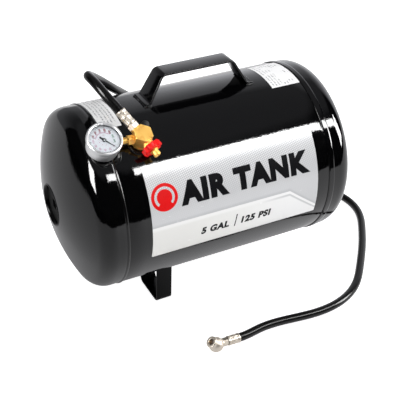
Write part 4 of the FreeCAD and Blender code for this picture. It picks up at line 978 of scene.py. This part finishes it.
def gauge():
    cup = rounded(((0, 4.0, 0), (20.0, 4.0, 0.8), (21.0, 5.6, 1.2), (21.0, 21.8, 0.2), (20.0, 21.8, 0),
                   (20.0, 5.2, 0.4), (0, 5.2, 0)), steps=4)
    turned("gauge_cup", cup, 128, GAUGE, GAUGE_STEEL, "gauge_case", smooth=45)
    rim = rounded(((21.0, 21.5, 0.2), (22.5, 21.5, 0.5), (23.0, 22.2, 0.5), (23.0, 27.6, 1.0),
                   (21.9, 29.0, 1.0), (20.6, 28.9, 0.6), (19.6, 27.4, 0.5), (19.6, 27.0, 0), (20.6, 27.0, 0),
                   (20.6, 25.0, 0), (21.0, 25.0, 0)), closed=True, steps=4)
    turned("gauge_rim", rim, 128, GAUGE, GAUGE_STEEL, "gauge_bezel", smooth=45, closed=True)
    glass = [(0, 25.3), (20.3, 25.3), (20.3, 26.9)]
    for k in range(1, 9):
        glass.append((20.3 * cos(pi / 2 * k / 8), 26.9 + 0.9 * sin(pi / 2 * k / 8)))
    turned("gauge_window", glass, 96, GAUGE, LENS, "gauge_lens", smooth=60)
    plate = rounded(((1.0, 22.6, 0), (19.9, 22.6, 0.1), (19.9, 23.2, 0.1), (1.0, 23.2, 0)), steps=2)
    turned("dial_plate", plate, 96, GAUGE, DIAL, "gauge_dial", smooth=40, closed=True)

    def on_dial(p):
        return GAUGE @ Vector((p.x, p.y, 23.22 + p.z))

    def turn_of(share):
        return SCALE_START - SCALE_SWEEP * share

    def tick(share, inner, outer, width):
        angle = radians(turn_of(share))
        across = Vector((-sin(angle), cos(angle)))
        along = Vector((cos(angle), sin(angle)))
        half = across * width / 2
        corners = (along * inner + half, along * outer + half, along * outer - half, along * inner - half)
        return [tuple(c) for c in corners]

    black = []
    for k in range(41):
        outer, width = (17.5, 0.25) if k % 5 else (18.4, 0.5)
        black.append(tick(k / 40, 16.4, outer, width))
    flat_piece("dial_ticks", shape_curve(black, 0.03), DIAL_BLACK, on_dial, pitch=0)
    high_band = band(10.6, 1.3, turn_of(0.56), turn_of(1.0))
    flat_piece("dial_red_band", shape_curve([high_band], 0.03), DIAL_PINK, on_dial, pitch=0)

    def numeral(name, text, turn, radius, height, weight, finish):
        """Text centred on the dial at a turn and radius, upright with the stem at the bottom."""
        curve = lettering(text, height, weight, 1.0, 0.03)
        curve.align_x = "CENTER"
        curve.align_y = "CENTER"
        x, y = radius * cos(radians(turn)), radius * sin(radians(turn))
        flat_piece(name, curve, finish, lambda p: on_dial(Vector((x - p.y, y + p.x, p.z))), pitch=0)

    for k in range(11):
        share = k / 10
        red = DIAL_RED if share > 0.55 else DIAL_PINK
        numeral(f"dial_psi_{20 * k}", str(20 * k), turn_of(share), 13.7, 3.6, 0.14, red)
    for k in range(1, 7):
        numeral(f"dial_bar_{2 * k}", str(2 * k), turn_of(k * 0.145), 6.9, 2.4, 0.06, DIAL_PINK)
    for unit, turn in (("psi", 18.0), ("bar", -12.0)):
        numeral(f"dial_unit_{unit}", unit, turn, 12.4, 4.0, 0.16, DIAL_GREEN)

    needle = [(-6.4, -0.9), (-6.9, 0.0), (-6.4, 0.9), (-2.0, 1.15), (0.0, 0.75), (15.0, 0.22), (15.6, 0.0),
              (15.0, -0.22), (0.0, -0.75), (-2.0, -1.15)]
    start = Matrix.Rotation(radians(SCALE_START), 3, "Z")

    def on_pointer(p):
        return GAUGE @ (start @ p + Vector((0, 0, 24.0)))

    blade = shape_curve([needle], 0.25)
    flat_piece("pointer_blade", blade, POINTER, on_pointer, 0, "gauge_pointer", "pointer")
    hub = rounded(((0, 11.0, 0), (0.6, 11.0, 0), (0.6, 23.6, 0), (2.5, 23.6, 0.2), (2.5, 24.4, 0.3),
                   (0, 24.4, 0)))
    turned("pointer_hub", hub, 32, GAUGE, POINTER, body="pointer", smooth=40)
    cap = rounded(((0, 24.2, 0), (1.4, 24.2, 0), (1.4, 24.6, 0.3), (0, 24.9, 0)))
    turned("pointer_cap", cap, 32, GAUGE, GAUGE_STEEL, body="pointer", smooth=40)

    nut("gauge_stem", GAUGE_PORT, BRASS, "gauge_socket", (12.0, FACE, FACE + 8.0), (4.2, 19.0, 32.0))


def scalloped(radius, notch, count, steps=10):
    """A knob's outline: a round with soft finger notches."""
    def reach(k):
        return radius - notch * (0.5 - 0.5 * cos(2 * pi * k / steps)) ** 1.4

    return [point[:2] for point in circle(reach, 0, count * steps)]


def shut_off():
    face = FACE + 1.3
    form = hexagon(14.0, face, face + 2.9)
    piece("bonnet_nut", form, VALVE_PORT, BRASS, "valve_bonnet", smooth=24)
    outline = scalloped(13.6, 2.6, 10)
    low, high = 15.9, 23.5  # the wheel's two faces
    shape = [(0.80, low + 0.4), (0.86, low), (0.95, low + 0.1), (0.99, low + 0.7), (1.0, low + 1.6),
             (1.0, high - 1.6), (0.99, high - 0.7), (0.95, high - 0.1), (0.86, high), (0.66, high),
             (0.62, high - 0.5), (0.42, high - 0.8), (0.38, high - 0.2), (0.22, high - 0.1)]
    inner = on_circle(outline, 3.1)
    grid = [layer(outline, z, share) for share, z in shape]
    grid = [layer(inner, low + 0.4)] + grid + [layer(inner, high - 0.1)]
    piece("knob_wheel", Form().grid(grid, loop=True), VALVE_PORT, RED, "valve_knob", "hand_wheel", smooth=55)
    nose = ((3.0, 0, 0), (5.9, 0, 0.2), (5.9, 1.4, 0.3), (4.8, 1.6, 0.3), (4.8, 7.4, 0.5), (4.0, 8.5, 0.5),
            (1.3, 8.5, 0.2), (1.3, 6.6, 0), (0, 6.6, 0))
    nose = rounded([(r, high + z, edge) for r, z, edge in nose])
    turned("knob_nose", nose, 56, VALVE_PORT, BRASS, "knob_nut", "hand_wheel", smooth=35)
    stem = rod(3.0, 5.9, high + 5.5, 0.2, 0.2)
    turned("spindle_rod", stem, 32, VALVE_PORT, BRASS, "valve_spindle", "hand_wheel", smooth=35)


def fill_valve():
    form = hexagon(11.0, FACE, FACE + 3.5, bore=3.0)
    thread = [(2.6, 14.0)]
    z = 14.0
    while z < 21.6:
        thread += [(3.55, z), (3.85, z + 0.28), (3.85, z + 0.4), (3.55, z + 0.7)]
        z += 0.8
    thread += [(3.4, 22.5), (2.6, 22.5)]
    form.lathe(thread, 40, loop=True)
    piece("fill_stem", form, FILL_PORT, BRASS, "fill_valve_body", smooth=30)
    count = 120
    grid = [circle(0, 22.9, count), circle(3.95, 22.9, count)]
    for r, z, ribbed in ((3.95, 15.2, 0), (5.0, 15.2, 1), (5.25, 15.6, 1), (5.25, 22.8, 1), (5.0, 23.6, 1),
                         (4.2, 24.8, 0), (3.0, 25.1, 0), (0, 25.1, 0)):
        grid.append(circle(lambda k: r - 0.22 * ribbed * (k % 4 < 2), z, count))
    piece("dust_cap", Form().grid(grid), FILL_PORT, CAP, "fill_valve_cap", "dust_cap", smooth=50)


# ---------------------------------------------------------------- hose and chuck

ON_FLOOR = -190.7
HOSE_LOOP = (
    (-140.5, -33, 165), (-146, -14, 174), (-146.5, 4, 174.5), (-135, 23, 163), (-121, 40, 149),
    (-95, 66, 122), (-64, 100, 90), (-24, 130, 48), (18, 152, -10), (60, 168, -74), (108, 180, -135),
    (165, 186, -179), (228, 177, ON_FLOOR), (282, 149, ON_FLOOR), (319, 113, ON_FLOOR), (334, 72, ON_FLOOR),
    (329, 29, ON_FLOOR), (306, -14, ON_FLOOR), (276, -57, ON_FLOOR), (244, -97, ON_FLOOR),
    (208, -135, ON_FLOOR), (164, -158, ON_FLOOR), (116, -163, ON_FLOOR), (66, -157, ON_FLOOR),
    (30, -156.5, -190.5),
)
HOSE_RADIUS = 6.25


def spline(points, first, last, per_span=14):
    """A smooth curve through the points, leaving and arriving along unit directions."""
    points = np.asarray(points, float)
    times = np.concatenate([[0], np.cumsum(np.linalg.norm(np.diff(points, axis=0), axis=1))])
    count = len(points)
    system = np.zeros((count, count))
    target = np.zeros((count, 3))
    system[0, 0] = system[-1, -1] = 1.0
    target[0], target[-1] = first, last
    for i in range(1, count - 1):
        a, b = times[i] - times[i - 1], times[i + 1] - times[i]
        system[i, i - 1], system[i, i], system[i, i + 1] = b, 2 * (a + b), a
        target[i] = 3 * (b * (points[i] - points[i - 1]) / a + a * (points[i + 1] - points[i]) / b)
    slopes = np.linalg.solve(system, target)
    result = []
    for i in range(count - 1):
        span = times[i + 1] - times[i]
        for k in range(per_span):
            t = k / per_span
            reached = 3 * t ** 2 - 2 * t ** 3
            pull = (t ** 3 - 2 * t ** 2 + t) * slopes[i] + (t ** 3 - t ** 2) * slopes[i + 1]
            result.append((1 - reached) * points[i] + reached * points[i + 1] + span * pull)
    result.append(points[-1])
    return result


def hose():
    to_tank = TANK.inverted()

    def spot(place, z):
        return np.array(to_tank @ (place @ Vector((0, 0, z))))

    start, leave = spot(HOSE_PORT, 21), spot(HOSE_PORT, 44)
    arrive, end = spot(CHUCK_HOSE, 39), spot(CHUCK_HOSE, 18.5)
    first = (leave - start) / np.linalg.norm(leave - start)
    last = (end - arrive) / np.linalg.norm(end - arrive)
    curve = spline([leave] + list(HOSE_LOOP) + [arrive], first, last)
    path = [start + (leave - start) * k / 8 for k in range(8)] + curve
    path += [arrive + (end - arrive) * k / 6 for k in range(1, 7)]
    form = Form().grid(capped(tube_rows(path, HOSE_RADIUS, 40)))
    piece("hose_tube", form, TANK, HOSE, "hose", smooth=60)


def crimped_sleeve(name, place, low, high, node):
    """A ferrule pressed on by eight jaws: two rows of flats with round-cornered ribs between them."""
    stations = [(6.3, 0.0, 0), (6.75, 0.02, 0), (7.0, 0.05, 0)]
    for row_from, row_to in ((0.12, 0.46), (0.54, 0.88)):
        stations += [(7.0, row_from, 0), (6.85, row_from + 0.03, 1), (6.75, row_from + 0.07, 1),
                     (6.75, row_to - 0.07, 1), (6.85, row_to - 0.03, 1), (7.0, row_to, 0)]
    stations += [(7.0, 0.95, 0), (6.75, 0.98, 0), (6.3, 1.0, 0)]
    count = 96
    pressed = [0.42 * (0.5 - 0.5 * cos(16 * pi * k / count)) ** 2 for k in range(count)]
    rows = [circle(lambda k: r - flat * pressed[k], low + t * (high - low), count) for r, t, flat in stations]
    rows += [circle(6.2, high - 0.05, count), circle(6.2, low + 0.05, count)]
    piece(name, Form().grid(rows, loop=True), place, NICKEL, node, smooth=42)


def hose_ends():
    nut("hose_nut", HOSE_PORT, NICKEL, "hose_fitting", (14.0, FACE + 2.2, 20.0), (5.8, 18.0, 22.0))
    crimped_sleeve("hose_sleeve", HOSE_PORT, 20.5, 42.0, "manifold_ferrule")
    nut("chuck_nut", CHUCK_HOSE, NICKEL, "chuck_fitting", (11.0, 10.5, 17.5), (4.6, 16.0, 19.0))
    crimped_sleeve("chuck_sleeve", CHUCK_HOSE, 18.0, 37.0, "chuck_ferrule")


def chuck():
    """The ball-foot chuck: one turned body with a thick-lipped mouth, bored for the valve stem."""
    ball, lip, reach = 10.8, 8.2, 12.0
    join = asin(lip / ball)
    profile = [(0.0, -ball)] + arc_points(ball, -pi / 2, pi / 2 - join, 40)[1:-1]
    neck = sqrt(ball ** 2 - lip ** 2)
    profile += rounded(((lip + 0.5, neck - 0.6, 0), (lip, neck + 0.4, 0.8), (lip, reach, 0.9),
                        (4.2, reach, 0.8), (4.2, 5.0, 0), (5.0, 5.0, 0)), steps=4)
    profile += [(5.0, 2.5), (1.5, 2.5), (1.5, -2.0), (2.7, -2.0), (2.7, -8.0), (0.0, -8.0)]
    turned("chuck_ball", profile, 96, CHUCK_MOUTH, NICKEL, "chuck_body", smooth=42)
    turned("chuck_spigot", rod(6.1, 8.6, 10.6, 0.4), 48, CHUCK_HOSE, NICKEL, smooth=42)


# ---------------------------------------------------------------- stage, light and camera

def studio():
    """A white table that ends in front and to the left, a pale backdrop and a dark room."""
    floor = bpy.data.meshes.new("floor")
    size = 14.0
    floor.from_pydata(box_corners(size, size, 0.0), [], [(0, 1, 2, 3)])
    ground = linked("floor", floor)
    ground.location.z = -0.0003
    f = Finish("floor")
    tone = f.mix(f.noise(3.0, 2.0), (0.86, 0.86, 0.865), (0.90, 0.90, 0.90))
    matt = f.node("BsdfDiffuse", Color=tone)
    rays = f.node("LightPath")
    glow = f.node("Emission", Color=(1, 1, 1), Strength=f.times(rays.outputs["Is Camera Ray"], 0.85))
    seen = f.node("AddShader", i0=matt, i1=glow)
    x, y, z = f.node("SeparateXYZ", Vector=f.where()).outputs
    front = f.ramp(y, -1.22, -1.06)
    left = f.ramp(f.scaled(f.math("MAXIMUM", y, 0.0), 0.7, x), -1.10, -0.90)
    # In reflections the floor carries painted light: it brightens towards +x, and a painted shadow darkens it
    # beneath the tank.
    level = f.times(front, left, f.ramp(x, -0.25, 0.25, 0.68, 1.12))
    painted_shadow_across = f.window(y, -0.15, 0.02, 0.10, 0.30)
    painted_shadow_along = f.window(x, -0.24, -0.10, 0.22, 0.36)
    level = f.times(level, f.scaled(f.times(painted_shadow_across, painted_shadow_along), -0.62, 1.0))
    mirrored = f.node("Emission", Color=(0.98, 0.98, 1.0), Strength=level)
    pick = f.node("MixShader", i0=rays.outputs["Is Glossy Ray"], i1=seen, i2=mirrored)
    f.show(pick)
    floor.materials.append(f.data)

    world = bpy.data.worlds.new("studio")
    world.use_nodes = True
    bpy.context.scene.world = world
    w = Nodes(world.node_tree, "World")
    x, y, z = w.node("SeparateXYZ", Vector=w.where("Generated")).outputs
    height = w.times(w.ramp(z, 0.22, 0.74, 1.4, 0.45, smooth=False), w.ramp(z, 0.70, 0.80, 1.0, 0.0))
    bearing = w.math("DIVIDE", x, w.math("MAXIMUM", y, 0.01))
    side = w.times(w.ramp(bearing, -0.80, -0.70), w.ramp(bearing, 0.27, 0.47, 0.24, 1.0))
    wall = w.times(height, side, w.ramp(y, 0.05, 0.25))
    ceiling = w.ramp(z, 0.68, 0.82, 0.0, 0.24)
    mirror = w.node("Background", Color=(0.94, 0.95, 1.0), Strength=w.plus(w.plus(wall, ceiling), 0.01))
    rays = w.node("LightPath")
    even = w.node("Background", Strength=w.scaled(rays.outputs["Is Camera Ray"], 0.5, 0.45))
    pick = w.node("MixShader", i0=rays.outputs["Is Glossy Ray"], i1=even, i2=mirror)
    w.show(pick)


def softbox(name, at, target, width, height, level, mirrored, along=(1, 0, 0)):
    """A rectangular light aimed at a target, seen either in reflections only or by matt surfaces only."""
    light = bpy.data.lights.new(name, "AREA")
    light.shape = "RECTANGLE"
    light.size, light.size_y = width, height
    light.energy = level * width * height * pi
    lamp = linked(name, light)
    lamp.matrix_world = facing(at, Vector(at) - Vector(target), along)
    lamp.visible_glossy = mirrored
    lamp.visible_diffuse = not mirrored
    lamp.visible_camera = False


def lights():
    softbox("band_box", (0.87, -1.14, 1.42), (0.06, -0.09, 0.28), 1.10, 0.26, 26.0, True)
    softbox("left_box", (-1.35, -0.36, 0.95), (-0.12, -0.08, 0.28), 0.45, 0.85, 26.0, True, along=(0, 1, 0))
    softbox("right_box", (1.5, -0.75, 0.75), (0.24, -0.09, 0.27), 0.5, 0.8, 26.0, True, along=(0, 1, 0))
    softbox("top_fill", (0.1, -0.2, 1.9), (0.05, 0, 0.15), 1.8, 1.6, 2.6, False)
    softbox("front_fill", (-0.1, -1.9, 1.0), (0.05, 0, 0.15), 1.6, 1.2, 2.2, False)


def camera():
    data = bpy.data.cameras.new("camera")
    data.lens = 81.0
    data.sensor_width = 36.0
    data.clip_start, data.clip_end = 0.02, 60.0
    eye = linked("camera", data)
    eye.location = (-0.4242, -0.9985, 0.8626)
    eye.rotation_mode = "QUATERNION"
    eye.rotation_quaternion = Vector((0.3758, 0.7507, -0.5433)).to_track_quat("-Z", "Y")
    bpy.context.scene.camera = eye


for build in (vessel, port_ring, boss, handle, foot, labels, manifold, gauge, shut_off, fill_valve, hose,
              hose_ends, chuck, studio, lights, camera):
    build()
bpy.context.scene.view_settings.view_transform = "Standard"
